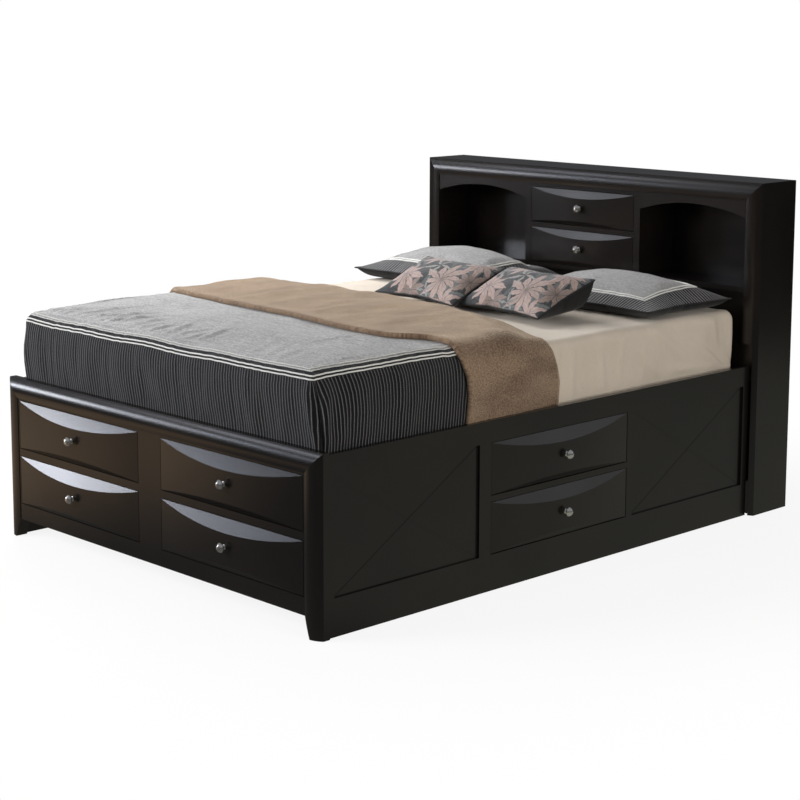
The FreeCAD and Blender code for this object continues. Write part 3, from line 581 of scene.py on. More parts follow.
@dataclass(frozen=True)
class Weave(Finish):
    """Plain-woven cotton or cotton blend, its yarns uneven in thickness and shade.

    The eye gets a matt cloth with a fine speckle, faint slubs and a soft bloom at its edges.

    Attributes:
        light: Colour of the raised yarns.
        dark: Colour between them.
        mottle: Strength of the speckle, from 0 to 1.
        sheen: Strength of the fuzz at grazing angles.
        thread: Distance between yarns in millimetres, as drawn.
        source: What the yarns are fixed to.
        crease: Depth in millimetres of the fine creases.
    """

    light: str
    dark: str
    mottle: float = 0.5
    sheen: float = 0.15
    thread: float = 1.61
    source: Source = Source.OBJECT
    crease: float = 0.9

    def cloth(self, node: Adder) -> tuple[Socket, Socket]:
        """Adds the cloth's colour and height.

        Args:
            node: Adds a node to the material.

        Returns:
            Colour and height sockets.
        """
        # Real yarns are 0.3 to 0.5 mm apart; they are drawn coarser, to show.
        warp = Pattern(self.thread, 2.0, (1.0, 0.12, 1.0), 0.5, self.source).lay(node)
        weft = Pattern(self.thread, 2.0, (0.12, 1.0, 1.0), 0.5, self.source).lay(node)
        # Slubs are 9 mm thick and 60 mm long, and the dye varies over about 200 mm.
        slubs = Pattern(21.7, 4.0, (0.35, 2.4, 1.0), 0.5, self.source).lay(node)
        dye = Pattern(200.0, 3.0, source=self.source).lay(node)
        yarns = node(TIMES, node(PLUS, warp, weft), 0.5)
        share = node(TIMES, node(RANGE, yarns, 0.38, 0.62, **EASED), self.mottle)
        for pattern, low, high, strength, clamp in (
            (slubs, 0.4, 0.75, 0.3 * self.mottle, False), (dye, 0.3, 0.8, 0.18, True),
        ):
            spread = node(TIMES, node(RANGE, pattern, low, high, **EASED), strength)
            share = node(PLUS, share, spread, use_clamp=clamp)
        colours = {0: share, 6: linear(self.light), 7: linear(self.dark)}
        return node(MIX, colours, **COLOUR), yarns

    def surface(self, node: Adder) -> dict[str, object]:
        """Adds the cloth and its fine creases.

        Args:
            node: Adds a node to the material.

        Returns:
            The shader's inputs by name.
        """
        colour, yarns = self.cloth(node)
        # Creases from folding are about 40 mm apart.
        creases = Pattern(38.5, 3.0, (1.0, 0.5, 1.0), 0.5, self.source).lay(node)
        creased = node(BUMP, {"Height": creases, "Distance": self.crease * MM, "Strength": 0.5})
        return {
            "Base Color": colour, "Roughness": 0.86, "Specular IOR Level": 0.2,
            "Sheen Weight": self.sheen, "Sheen Roughness": 0.5,
            "Normal": node(BUMP, {
                "Height": yarns, "Distance": 0.4 * MM, "Strength": 0.6, "Normal": creased}),
        }


def insets(node: Adder, half: tuple[float, float]) -> list[Socket]:
    """Measures how far in from a pillow's sides and from its ends a place of its cloth is.

    Args:
        node: Adds a node to the material.
        half: Half the pillow's width and half its depth in metres.

    Returns:
        The distance from the nearer side, and from the nearer end.
    """
    parts = node("SeparateXYZ", node(SPOTS, out="UV")).node.outputs
    return [node(MINUS, size, node(SIZE, part)) for part, size in zip(parts, half)]


class Run(Enum):
    """What a pinstripe follows."""

    ALONG_PATH = 0
    TO_BORDER = 1


@dataclass(frozen=True)
class Pinstripe(Finish):
    """Ribbed cotton drill, woven dark with pale pinstripes, round a plain middle if it is a border.

    The eye gets black cloth with thin, slightly broken grey lines and a rib that catches light.

    Attributes:
        ground: Colour between the stripes.
        stripe: Colour of a stripe.
        pitch: Distance between stripes in millimetres; the real 4 mm would run together.
        run: Whether stripes stand across the path, or across a mitred border.
        half: Half width and half depth of a bordered piece, in metres.
        border: Width of the border in metres.
        middle: Cloth of the middle of a bordered piece.
    """

    ground: str
    stripe: str
    pitch: float
    run: Run
    half: tuple[float, float] = (0.0, 0.0)
    border: float = 0.0
    middle: Weave | None = None

    def station(self, node: Adder) -> tuple[Socket, Socket | None]:
        """Measures where the stripes are counted from.

        Args:
            node: Adds a node to the material.

        Returns:
            The distance, and the distance in from a border's edge.
        """
        if self.run is Run.ALONG_PATH:
            return node("SeparateXYZ", node(SPOTS, out="UV")), None
        gaps = insets(node, self.half)
        return node(MOST, *gaps), node(LEAST, *gaps)

    def surface(self, node: Adder) -> dict[str, object]:
        """Adds the stripes, the rib and, in a border, the plain middle.

        Args:
            node: Adds a node to the material.

        Returns:
            The shader's inputs by name.
        """
        station, inset = self.station(node)
        # The stripes wander by up to 4 mm over about 70 mm.
        sway = Pattern(71.43, 2.0, (0.3, 1.0, 1.0), source=Source.UV).lay(node)
        sway = node(PLUS, station, node(TIMES, sway, 4.0 * MM))
        turn = node(OVER, sway, self.pitch * MM)
        wave = node(SIZE, node(MINUS, node(FRACTION, turn), 0.5))
        line = node(MINUS, 1.0, node(RANGE, wave, 0.05, 0.17, **EASED), use_clamp=True)
        # Yarns are drawn 1.9 mm apart, several times coarser than they are, to show.
        yarns = Pattern(1.92, 2.0, source=Source.UV).lay(node)
        worn = node(TIMES, line, node(RANGE, yarns, 0.25, 0.6, **EASED))
        # Wear shows over about 140 mm.
        wear = node(TIMES, Pattern(142.9, 3.0, source=Source.UV).lay(node), 0.6)
        tone = node(MIX, {0: wear, 6: linear(self.ground), 7: linear("#1C1C1D")}, **COLOUR)
        colour = node(MIX, {0: worn, 6: tone, 7: linear(self.stripe)}, **COLOUR)
        rib = node(TIMES, node("Math.COSINE", node(TIMES, turn, TAU)), 0.5)
        if inset is None:
            high = node(MINUS, 0.5, rib)
        else:
            plain, _ = self.middle.cloth(node)
            inside = node(ABOVE, inset, self.border)
            colour = node(MIX, {0: inside, 6: colour, 7: plain}, **COLOUR)
            high = node(TIMES, rib, node(MINUS, 1.0, inside))
        ribbed = node(BUMP, {"Height": high, "Distance": 1.6 * MM, "Strength": 0.6})
        return {
            "Base Color": colour, "Roughness": 0.82, "Sheen Weight": 0.12,
            "Specular IOR Level": 0.25,
            "Normal": node(BUMP, {
                "Height": yarns, "Distance": 0.4 * MM, "Strength": 0.5, "Normal": ribbed}),
        }


@dataclass(frozen=True)
class Plush(Finish):
    """Knitted polyester with a short brushed pile.

    The eye gets a velvety camel colour that is dark where the pile is stroked one way and glows
    where it is seen edge on.

    Attributes:
        light: Colour of the pile's tips.
        dark: Colour of its depth.
    """

    light: str
    dark: str

    def surface(self, node: Adder) -> dict[str, object]:
        """Adds the strokes of a hand, the tufts and the fibres.

        Args:
            node: Adds a node to the material.

        Returns:
            The shader's inputs by name.
        """
        # Strokes are a hand wide, about 90 mm; tufts of the pile are 5 mm wide.
        strokes = Pattern(90.9, 5.0, (1.0, 0.35, 1.0), 0.6, Source.UV).lay(node)
        tufts = Pattern(5.26, 4.0, (1.0, 0.6, 1.0), 0.7, Source.UV).lay(node)
        # Fibres are hair-thin and are drawn 1.4 mm apart, to show.
        fibres = Pattern(1.43, 2.0, (1.0, 0.3, 1.0), source=Source.UV).lay(node)
        parts = [
            node(TIMES, node(RANGE, pattern, low, high, **EASED), strength)
            for pattern, low, high, strength in (
                (strokes, 0.33, 0.7, 0.5), (tufts, 0.38, 0.62, 0.65))
        ]
        share = node(PLUS, *parts, use_clamp=True)
        pile = node(PLUS, tufts, node(TIMES, fibres, 0.35))
        return {
            "Base Color": node(MIX, {0: share, 6: linear(self.light), 7: linear(self.dark)},
                              **COLOUR),
            "Roughness": 0.95, "Sheen Weight": 0.8, "Sheen Roughness": 0.4,
            "Sheen Tint": linear("#E0D0BC"), "Specular IOR Level": 0.1,
            "Normal": node(BUMP, {"Height": pile, "Distance": 5.5 * MM, "Strength": 0.8}),
        }


@dataclass(frozen=True)
class Bloom:
    """One flower or spray of leaves of the print.

    Attributes:
        spot: Its centre on the cloth, in metres.
        reach: Length of its petals.
        petals: How many petals it has.
        turn: How far it is turned, in radians.
        slim: How thin the petals are; 1 is plump.
        colour: Petal colour.
        vein: Colour of the line down each petal and of its rim.
        ribs: Strength of the fine ribs of a leaf.
    """

    spot: tuple[float, float]
    reach: float
    petals: int
    turn: float
    slim: float
    colour: str
    vein: str
    ribs: float = 0.0

    def angle(self, node: Adder, away: Socket, share: Socket) -> Socket:
        """Counts petals round the bloom, with a slight swirl.

        Args:
            node: Adds a node to the material.
            away: Place from the bloom's centre.
            share: Distance from it, as a share of the reach.

        Returns:
            How many petals round a place is.
        """
        parts = node("SeparateXYZ", away).node.outputs
        angle = node("Math.ARCTAN2", parts["Y"], parts["X"])
        angle = node(PLUS, node(PLUS, angle, self.turn), node(TIMES, share, 0.3))
        return node(OVER, node(TIMES, angle, float(self.petals)), TAU)

    def printed(self, node: Adder, below: Socket, spot: Socket, shade: Socket) -> Socket:
        """Prints the bloom over what is there.

        Args:
            node: Adds a node to the material.
            below: Colour under the bloom.
            spot: The cloth's coordinates.
            shade: Noise that breaks the ink.

        Returns:
            The colour with the bloom on it.
        """
        away = node("VectorMath.SUBTRACT", spot, (*self.spot, 0.0))
        share = node(OVER, node("VectorMath.LENGTH", away, out="Value"), self.reach)
        petal = self.angle(node, away, share)
        # Each petal is up to 28 % shorter by the luck of its number.
        luck = node(SINE, node(TIMES, node("Math.FLOOR", petal), 12.99))
        luck = node(TIMES, node(FRACTION, node(TIMES, luck, 437.58)), 0.28)
        share = node(OVER, share, node(MINUS, 1.0, luck))
        within = node(SIZE, node(MINUS, node(FRACTION, petal), 0.5))
        # A petal is widest a little before its middle.
        belly = node(SINE, node(TIMES, node("Math.POWER", share, 0.8), math.pi))
        belly = node(TIMES, belly, 0.2 / self.slim * self.petals / TAU)
        width = node(LEAST, node(OVER, belly, node(MOST, share, 0.05)), 0.47)
        real = node(TIMES, node(MINUS, width, within), share)
        ink = node(TIMES, node(RANGE, real, 0.0, 0.012, **EASED),
                  node("Math.LESS_THAN", share, 1.0))
        rim = node(MINUS, 1.0, node(RANGE, real, 0.012, 0.035, **EASED))
        rib = node(RANGE, node(TIMES, within, share), 0.004, 0.018, **EASED)
        lines = node(TIMES, node(MOST, node(TIMES, rim, 0.8), node(MINUS, 1.0, rib)), 0.7)
        if self.ribs:
            slant = node(PLUS, node(TIMES, share, 75.0), node(TIMES, within, -60.0))
            comb = node(ABOVE, node(SINE, slant), 0.35)
            lines = node(MOST, lines, node(TIMES, comb, self.ribs))
        worn = node(TIMES, node(RANGE, shade, 0.35, 0.65, **EASED), 0.22)
        heart = node(TIMES, node(MINUS, 1.0, share), 0.3)
        deep = node(PLUS, worn, heart, use_clamp=True)
        vein = linear(self.vein)
        tone = node(MIX, {0: deep, 6: linear(self.colour), 7: vein}, **COLOUR)
        drawn = node(MIX, {0: lines, 6: tone, 7: vein}, **COLOUR)
        return node(MIX, {0: ink, 6: below, 7: drawn}, **COLOUR)


@dataclass(frozen=True)
class Print(Finish):
    """Cotton sateen, screen-printed with blooms and leaves over a dark ground.

    The eye gets dusty pink flowers with ragged petals over ribbed grey leaves.

    Attributes:
        ground: The ground's cloth.
        blooms: What is printed, from the lowest to the uppermost.
        half: Half the pillow's width and half its depth in metres, for its dark edge.
    """

    ground: Weave
    blooms: tuple[Bloom, ...]
    half: tuple[float, float]

    def surface(self, node: Adder) -> dict[str, object]:
        """Adds the ground, the blooms and the rolled edge.

        Args:
            node: Adds a node to the material.

        Returns:
            The shader's inputs by name.
        """
        colour, yarns = self.ground.cloth(node)
        flat = node(SPOTS, out="UV")
        spot = flat
        # A loose hand bends the petals over about 60 mm, and the screen's mesh nicks their rims.
        for size, detail, reach in ((62.5, 2.0, 22.0), (11.76, 1.0, 11.0)):
            bend = node("TexNoise", {
                "Vector": flat, "Scale": per_metre(size), "Detail": detail}, out="Color")
            bend = node("VectorMath.SUBTRACT", bend, (0.5, 0.5, 0.5))
            bend = node("VectorMath.SCALE", {0: bend, "Scale": reach * MM})
            spot = node("VectorMath.ADD", spot, bend)
        # Ink covers unevenly over about 17 mm.
        shade = Pattern(16.7, 3.0, source=Source.UV).lay(node)
        for bloom in self.blooms:
            colour = bloom.printed(node, colour, spot, shade)
        gap = node(LEAST, *insets(node, self.half))
        rim = node(MINUS, 1.0, node(RANGE, gap, 2.0 * MM, 7.0 * MM, **EASED))
        # Puckers of the stuffed cloth are about 33 mm apart.
        puckers = Pattern(33.3, 3.0, source=Source.UV).lay(node)
        puckered = node(BUMP, {"Height": puckers, "Distance": 1.2 * MM, "Strength": 0.5})
        return {
            "Base Color": node(MIX, {0: rim, 6: colour, 7: linear("#232325")}, **COLOUR),
            "Roughness": 0.78, "Sheen Weight": 0.15, "Specular IOR Level": 0.25,
            "Normal": node(BUMP, {
                "Height": yarns, "Distance": 0.4 * MM, "Strength": 0.6, "Normal": puckered}),
        }


@dataclass(frozen=True)
class Cord(Finish):
    """Cotton cord or thread, twisted from several strands.

    The eye gets an off-white line with greyer hollows between the strands.

    Attributes:
        colour: Its colour.
    """

    colour: str

    def surface(self, node: Adder) -> dict[str, object]:
        """Adds the twist.

        Args:
            node: Adds a node to the material.

        Returns:
            The shader's inputs by name.
        """
        # Strands cross every 2.4 mm.
        twist = Pattern(2.38, 2.0).lay(node)
        hollows = node(TIMES, node(RANGE, twist, 0.4, 0.7, **EASED), 0.35)
        return {
            "Base Color": node(MIX, {0: hollows, 6: linear(self.colour), 7: linear("#9A9893")},
                              **COLOUR),
            "Roughness": 0.7, "Sheen Weight": 0.2,
            "Normal": node(BUMP, {"Height": twist, "Distance": 0.6 * MM, "Strength": 0.6}),
        }


# Charcoal cloth of the seams and the pillows' undersides, made darker to paint the shade under the
# pillows.
CHARCOAL_AND_SHADE_CLOTH = Weave("charcoal_and_painted_shade", "#232324", "#151516", 0.6, 0.1)
BAND_CLOTH = Weave("band_rib", "#404042", "#1D1D1E", 0.9, 0.1, thread=3.85)
HEATHER = Weave("heather_grey", "#AFAEAD", "#6F6F70", 0.8, 0.12)
SHAM_MIDDLE = Weave("sham_middle", "#A3A2A1", "#69696A", 0.8, 0.12, source=Source.UV)
PRINT_GROUND = Weave("print_ground", "#3D3F40", "#282A2B", 0.8, 0.12, source=Source.UV)

OFF_WHITE, PALE_GREY, ASH = "#B9B6B1", "#A9AAA9", "#7A7C7D"
MID_GREY, SLATE, DEEP = "#616365", "#4A4D4F", "#27292B"
BLUSH, PINK, DUSK = "#A6938C", "#A08D86", "#86766F"
BLUSH_VEIN, PINK_VEIN, DUSK_VEIN = "#6C605D", "#6A5E5B", "#5C5250"
SPRAY = (
    Bloom((0.010, 0.000), 0.230, 9, 0.4, 1.5, SLATE, DEEP, 0.7),
    Bloom((-0.150, 0.100), 0.170, 8, 1.9, 1.5, MID_GREY, DEEP, 0.6),
    Bloom((0.165, 0.095), 0.160, 7, 0.9, 1.6, DEEP, "#77797B", 0.6),
    Bloom((0.145, -0.125), 0.150, 7, 2.4, 1.5, ASH, DEEP, 0.6),
    Bloom((-0.155, -0.120), 0.150, 7, 0.2, 1.6, SLATE, DEEP, 0.7),
    Bloom((0.040, 0.095), 0.115, 6, 2.7, 1.6, MID_GREY, DEEP, 0.6),
    Bloom((-0.010, -0.115), 0.115, 6, 1.2, 1.6, DEEP, MID_GREY, 0.6),
    Bloom((-0.185, 0.020), 0.090, 8, 0.8, 1.2, DUSK, DUSK_VEIN),
    Bloom((0.195, -0.010), 0.085, 8, 2.1, 1.2, DUSK, DUSK_VEIN),
    Bloom((-0.055, -0.120), 0.085, 8, 2.9, 1.2, DUSK, DUSK_VEIN),
    Bloom((0.085, -0.050), 0.112, 10, 1.0, 1.1, PINK, PINK_VEIN),
    Bloom((-0.120, -0.055), 0.104, 9, 0.1, 1.1, PINK, "#64595A"),
    Bloom((-0.060, 0.100), 0.090, 9, 1.9, 1.1, BLUSH, BLUSH_VEIN),
    Bloom((0.150, 0.095), 0.088, 9, 0.6, 1.1, PINK, PINK_VEIN),
    Bloom((0.165, -0.140), 0.080, 8, 1.7, 1.1, BLUSH, BLUSH_VEIN),
    Bloom((-0.185, 0.135), 0.075, 8, 0.3, 1.2, DUSK, DUSK_VEIN),
    Bloom((0.000, 0.025), 0.085, 5, 0.6, 2.2, OFF_WHITE, DEEP, 0.5),
    Bloom((0.030, -0.115), 0.070, 5, 2.4, 2.2, PALE_GREY, DEEP, 0.5),
    Bloom((-0.140, 0.040), 0.065, 5, 1.4, 2.2, PALE_GREY, DEEP, 0.5),
)


# ---- cords and stitches ----


@dataclass
class LineWork:
    """Cords and stitches, laid along lines by two Geometry Nodes groups.

    Attributes:
        piping: The group that sweeps a cord along a line.
        stitching: The group that lays stitches along it.
    """

    piping: Tree = field(init=False)
    stitching: Tree = field(init=False)

    def __post_init__(self) -> None:
        """Makes both groups."""
        self.piping = self.group("piping", ("Radius", "Step"), False)
        self.stitching = self.group("stitching", ("Radius", "Step", "Length"), True)

    @staticmethod
    def group(name: str, sizes: Sequence[str], stitched: bool) -> Tree:
        """Makes a group with named inputs.

        Args:
            name: The group's name.
            sizes: Names of its sizes.
            stitched: Whether it lays stitches along a line, or sweeps a cord along it.

        Returns:
            The group.
        """
        tree = bpy.data.node_groups.new(name, "GeometryNodeTree")
        sockets = [("Geometry", "OUTPUT", "Geometry"), ("Geometry", "INPUT", "Geometry")]
        sockets += [(size, "INPUT", "Float") for size in sizes]
        for title, way, kind in sockets + [("Material", "INPUT", "Material")]:
            tree.interface.new_socket(title, in_out=way, socket_type="NodeSocket" + kind)
        node, given = partial(add, tree), tree.nodes.new("NodeGroupInput").outputs
        line = node("GeometryNodeMeshToCurve", given["Geometry"])
        if stitched:
            spots = node("GeometryNodeCurveToPoints", {
                "Curve": line, "Length": given["Step"]}, out="Points", mode="LENGTH")
            ball = node("GeometryNodeMeshUVSphere", {"Segments": 6, "Rings": 4, "Radius": 1.0})
            size = node("CombineXYZ", given["Radius"], given["Radius"], given["Length"])
            stitch = node("GeometryNodeTransform", {"Geometry": ball, "Scale": size})
            made = node("GeometryNodeInstanceOnPoints", {
                "Points": spots, "Instance": stitch, "Rotation": spots.node.outputs["Rotation"]})
        else:
            even = node("GeometryNodeResampleCurve", {
                "Curve": line, "Length": given["Step"]}, mode="LENGTH")
            ring = node("GeometryNodeCurvePrimitiveCircle", {
                "Resolution": 8, "Radius": given["Radius"]})
            made = node("GeometryNodeCurveToMesh", {
                "Curve": even, "Profile Curve": ring, "Fill Caps": True})
        for kind in ("SetShadeSmooth", "RealizeInstances"):
            made = node("GeometryNode" + kind, {"Geometry": made})
        made = node("GeometryNodeSetMaterial", {"Geometry": made, "Material": given["Material"]})
        node("NodeGroupOutput", made)
        return tree

    def lay(
        self, name: str, lines: Sequence[Array], group: Tree,
        material: Material, closed: bool = False, **sizes: float,
    ) -> Object:
        """Lays cords or stitches along lines.

        Args:
            name: Name of the piece.
            lines: Points of each line, in metres.
            group: Which of the groups to use.
            material: The thread's material.
            closed: Whether each line comes back to its start.
            **sizes: The group's sizes by name, in millimetres.

        Returns:
            The piece.
        """
        points, edges = [], []
        for line in lines:
            start, count = len(points), len(line)
            points += [tuple(p) for p in line]
            edges += [(start + i, start + i + 1) for i in range(count - 1)]
            if closed:
                edges.append((start + count - 1, start))
        mesh = bpy.data.meshes.new(name)
        mesh.from_pydata(points, edges, [])
        piece = add_object(name, mesh, [material])
        work = piece.modifiers.new("lines", "NODES")
        work.node_group = group
        given = {key: size * MM for key, size in sizes.items()} | {"Material": material}
        for item in group.interface.items_tree:
            if item.in_out == "INPUT" and item.name in given:
                work[item.identifier] = given[item.name]
        return baked(piece)


# ---- bedding ----


@dataclass(frozen=True)
class BedPlan:
    """Sizes of the made bed, in millimetres, from the face of the footboard.

    Attributes:
        half: Half the mattress's width.
        foot: Where the mattress starts.
        head: Where it ends.
        top: Its top.
        low: Its underside.
        crown: How much the comforter's middle stands above its edges.
    """

    half: float = 762.0
    foot: float = 55.0
    head: float = 2087.0
    top: float = 760.0
    low: float = 480.0
    crown: float = 13.5


PLAN = BedPlan()

# Section of the comforter at the bed's side, from its hem up: height and distance out from the
# mattress; the same at the foot; and, row by row, the corner's radius and the depth and half
# width of the pleat in it.
SIDE_SHARES = np.array([
    (520, 14), (545, 15), (562, 16), (590, 20), (620, 24), (655, 28), (690, 29), (724, 27),
    (748, 22), (762, 17), (774, 10.5), (787, 3), (792.5, -4), (795.5, -11), (799.5, -18),
    (802.5, -27), (804.5, -38),
], float)
FOOT_SHARES = np.array([
    (520, 9), (545, 9), (562, 9), (590, 12), (618, 16), (650, 19), (680, 21), (706, 20),
    (730, 17), (747.5, 13), (759.5, 9.5), (774.5, 4.5), (781, 1), (785.5, -2), (789.5, -5),
    (793, -10), (797, -22),
], float)
PLEAT_SHARES = np.array([
    (24, 11, 7), (24, 11, 7), (25, 12, 7), (27, 16, 8), (29, 19, 10), (31, 21, 12),
    (31, 21, 14), (29, 20, 16), (24, 17, 16), (18, 10, 13), (13, 2, 9), (10, 0, 6),
    (9, 0, 6), (8, 0, 6), (8, 0, 6), (8, 0, 6), (8, 0, 6),
], float)
# How far each row's right corner is drawn in across the bed, the left one's share of that, and
# how far the left corner stands out.
CORNER_INSET = np.array([0, 0, 0, 1, 4, 8, 13, 18, 23, 26, 27, 27, 27, 27, 27, 27, 26], float)
LEFT_INSET = 0.2
LEFT_SWELL = np.array([3, 2, 1, 0, -1, -2, -3, -4, -4, -4, -3, -3, -2, -1, -1, 0, 0], float)
# Rows where the band and the heather top start, rows of the cords and of the stitches, and the
# row that the walls are measured along.
BAND_ROW, HEATHER_ROW = 10, 13
CORD_ROWS, STITCH_ROWS = (10.25, 10.92), (13.1, 14.5)
PATH_ROW = 5

# Long creases pressed into the comforter's top: both ends, half width and height.
CREASES = (
    ((60, 290), (503, 221), 9.0, 2.2), ((503, 221), (735, 196), 7.0, 2.6),
    ((300, 240), (640, 205), 6.0, -1.4), ((470, 215), (445, 560), 10.0, 1.6),
    ((-560, 150), (-505, 420), 8.0, 1.8), ((-470, 110), (-330, 330), 7.0, 2.2),
    ((-360, 95), (-250, 300), 6.0, 2.0), ((-250, 90), (-190, 260), 6.0, 2.2),
    ((-120, 85), (-70, 280), 6.0, 1.8), ((-20, 85), (40, 230), 6.0, 1.6),
    ((120, 85), (150, 210), 6.0, 1.2), ((-420, 330), (60, 395), 12.0, 1.6),
)

# Edges of the throw: x and height of a point on the comforter, and how far up the bed the edge is.
THROW_FOOT = np.array([
    (-778, 546, 712), (-790, 640, 708), (-784, 740, 700), (-734, 796, 682), (-671, 807, 640),
    (-293, 820, 570), (118, 821, 546), (403, 818, 509), (558, 814, 531), (616, 810, 576),
    (662, 807, 606), (716, 801, 606), (734, 796, 611), (768, 779, 612), (785, 739, 624),
    (790, 703, 643), (790, 640, 652), (778, 546, 646),
], float)
THROW_HEAD = np.array([
    (-778, 546, 1286), (-790, 640, 1286), (-784, 740, 1288), (-720, 800, 1290), (-544, 812, 1286),
    (-235, 818, 1274), (-20, 818, 1268), (186, 817, 1262), (294, 816, 1248), (441, 814, 1205),
    (561, 812, 1145), (690, 804, 1078), (750, 792, 1050), (780, 757, 1056), (790, 700, 1085),
    (790, 640, 1100), (778, 546, 1098),
], float)

# Folds of the sheet's sides: both ends as distance up the bed and height, half width and height.
SHEET_FOLDS = (
    ((1595, 751), (1835, 590), 20.0, 4.6), ((1763, 700), (2039, 537), 15.0, 5.2),
    ((1872, 642), (2045, 548), 10.0, 4.6), ((1692, 585), (2002, 564), 11.0, 4.2),
    ((1500, 700), (1660, 560), 20.0, 3.4), ((1185, 750), (1185, 570), 13.0, 3.8),
    ((1332, 748), (1345, 565), 15.0, 3.8), ((1449, 735), (1428, 575), 13.0, 3.4),
    ((1114, 735), (1106, 570), 9.0, 3.4), ((1240, 640), (1262, 545), 11.0, 3.0),
    ((1560, 690), (1548, 560), 14.0, 3.0), ((1940, 745), (1985, 640), 14.0, 4.0),
)


def ridges(u: Array, v: Array, folds: Sequence[tuple]) -> Array:
    """Raises long folds between pairs of points.

    Args:
        u: First coordinate.
        v: Second coordinate, of the same shape.
        folds: Both ends, half width and height of each fold.

    Returns:
        The folds' height.
    """
    height = np.zeros(np.broadcast(u, v).shape)
    for start, end, width, top in folds:
        a, run = np.array(start, float), np.subtract(end, start).astype(float)
        share = np.clip(((u - a[0]) * run[0] + (v - a[1]) * run[1]) / (run @ run), -0.2, 1.2)
        off = np.hypot(u - a[0] - share * run[0], v - a[1] - share * run[1])
        fade = np.clip(1.25 - abs(share - 0.5) * 2.0, 0.0, 1.0)
        height += top * fade * np.exp(-(off / width) ** 2)
    return height


@dataclass
class Cover:
    """The shape of the made bed under the throw, by station across and distance up the bed.

    Attributes:
        samples: Points of each half section, the comforter's and the sheet's.
        edge: Radius of the sheet's upper edge.
        gap: How far the sheet stands out from the mattress's side.
        slope: Length over which the throw comes down from the comforter to the sheet.
        comforter: Half the comforter's section: distance out and height of each sample.
        sheet: The same of the sheet.
    """

    samples: int = 400
    edge: float = 40.0
    gap: float = 1.2
    slope: float = 205.0
    comforter: Array = field(init=False)
    sheet: Array = field(init=False)

    def __post_init__(self) -> None:
        """Measures both sections."""
        x = np.linspace(0.0, PLAN.half + SIDE_SHARES[-1, 1], 40)
        crown = SIDE_SHARES[-1, 0] + self.crown_at(x)
        side = SIDE_SHARES[::-1][1:]
        self.comforter = self.resampled(np.concatenate([
            np.stack([x, crown], 1), np.stack([PLAN.half + side[:, 1], side[:, 0]], 1),
        ]))
        out, top = PLAN.half + self.gap, PLAN.top + 1.0
        bend = np.linspace(0.0, math.pi / 2, 12)
        arc = np.stack([out - self.edge + self.edge * np.sin(bend),
                        top - self.edge + self.edge * np.cos(bend)], 1)
        flat = np.array([(0.0, top), (400.0, top)])
        self.sheet = self.resampled(np.concatenate([flat, arc, [(out, SIDE_SHARES[0, 0])]]))

    @staticmethod
    def crown_at(x: Array) -> Array:
        """Gives how far the comforter's top stands above its edge at a distance across."""
        edge = PLAN.half + SIDE_SHARES[-1, 1]
        return PLAN.crown * (1.0 - np.clip(np.abs(x) / edge, 0.0, 1.0) ** 2.2)

    def resampled(self, line: Array) -> Array:
        """Spaces a line's points evenly.

        Args:
            line: Points of the line.

        Returns:
            As many points of it as there are samples.
        """
        step = distances(line)
        at = np.linspace(0.0, step[-1], self.samples)
        return np.stack([np.interp(at, step, line[:, k]) for k in (0, 1)], 1)

    def station(self, x: Array, z: Array) -> Array:
        """Finds where points lie across the comforter.

        Args:
            x: Their distances across.
            z: Their heights.

        Returns:
            Shares of the half section, below zero on the left.
        """
        x, z = np.asarray(x, float), np.asarray(z, float)
        across = np.abs(x).ravel()[:, None] - self.comforter[:, 0]
        up = z.ravel()[:, None] - self.comforter[:, 1]
        nearest = np.argmin(across ** 2 + up ** 2, axis=1).reshape(x.shape)
        return np.where(x < 0, -1.0, 1.0) * nearest / (self.samples - 1)

    def settled(self, points: Array) -> Array:
        """Lets points of the comforter come down with it towards the head.

        Args:
            points: Points in millimetres.

        Returns:
            The points moved.
        """
        t = self.station(points[..., 0], points[..., 2])
        level, far_down = np.zeros_like(t), np.full_like(t, -1e4)
        drop = self.at(t, points[..., 1], level) - self.at(t, far_down, level)
        drop[..., 1] = 0.0
        return points + drop

    def bare(self, points: Array) -> Array:
        """Gives how free of the throw points are.

        Args:
            points: Points in millimetres.

        Returns:
            1 in the open to 0.12 under the throw.
        """
        t = self.station(points[..., 0], points[..., 2])
        edge = self.border(THROW_FOOT, t)
        return 1.0 - 0.88 * smooth_step((points[..., 1] - edge + 12.0) / 30.0)

    def head_line(self, t: Array) -> Array:
        """Gives how far up the bed the throw's head edge is at each station."""
        return self.border(THROW_HEAD, t)

    def border(self, rows: Array, t: Array) -> Array:
        """Reads an edge given by points on the comforter.

        Args:
            rows: x, height and distance up the bed of each point.
            t: Stations across.

        Returns:
            Distances in millimetres, rounded off a little at the points.
        """
        stations = self.station(rows[:, 0], rows[:, 1])
        order = np.argsort(stations)
        plain, near, far = (
            np.interp(t + step, stations[order], rows[order, 2]) for step in (0.0, -0.012, 0.012)
        )
        return (2.0 * plain + near + far) / 4.0

    def fallen(self, t: Array, y: Array) -> Array:
        """Gives how far the bedding has come down, from 0 on the comforter to 1 on the sheet."""
        return smooth_step((y - (self.head_line(t) - self.slope - 10.0)) / self.slope)

    def at(self, t: Array, y: Array, lift: Array) -> Array:
        """Gives points of the made bed's surface.

        Args:
            t: Stations across.
            y: Distance up the bed.
            lift: Distance out from the surface.

        Returns:
            Points in millimetres.
        """
        fallen = self.fallen(t, y)[..., None]
        where, index = np.abs(t) * (self.samples - 1), np.arange(self.samples)
        tables = [self.comforter, self.sheet]
        tables += [np.gradient(line, axis=0) for line in tables]
        high, low, high_lean, low_lean = (
            np.stack([np.interp(where, index, table[:, k]) for k in (0, 1)], -1)
            for table in tables
        )
        spot = (1 - fallen) * high + fallen * low
        lean = unit((1 - fallen) * high_lean + fallen * low_lean)
        x = spot[..., 0] - lean[..., 1] * lift
        z = spot[..., 1] + lean[..., 0] * lift
        return np.stack([np.where(t < 0, -x, x), y + 0 * x, z], -1)


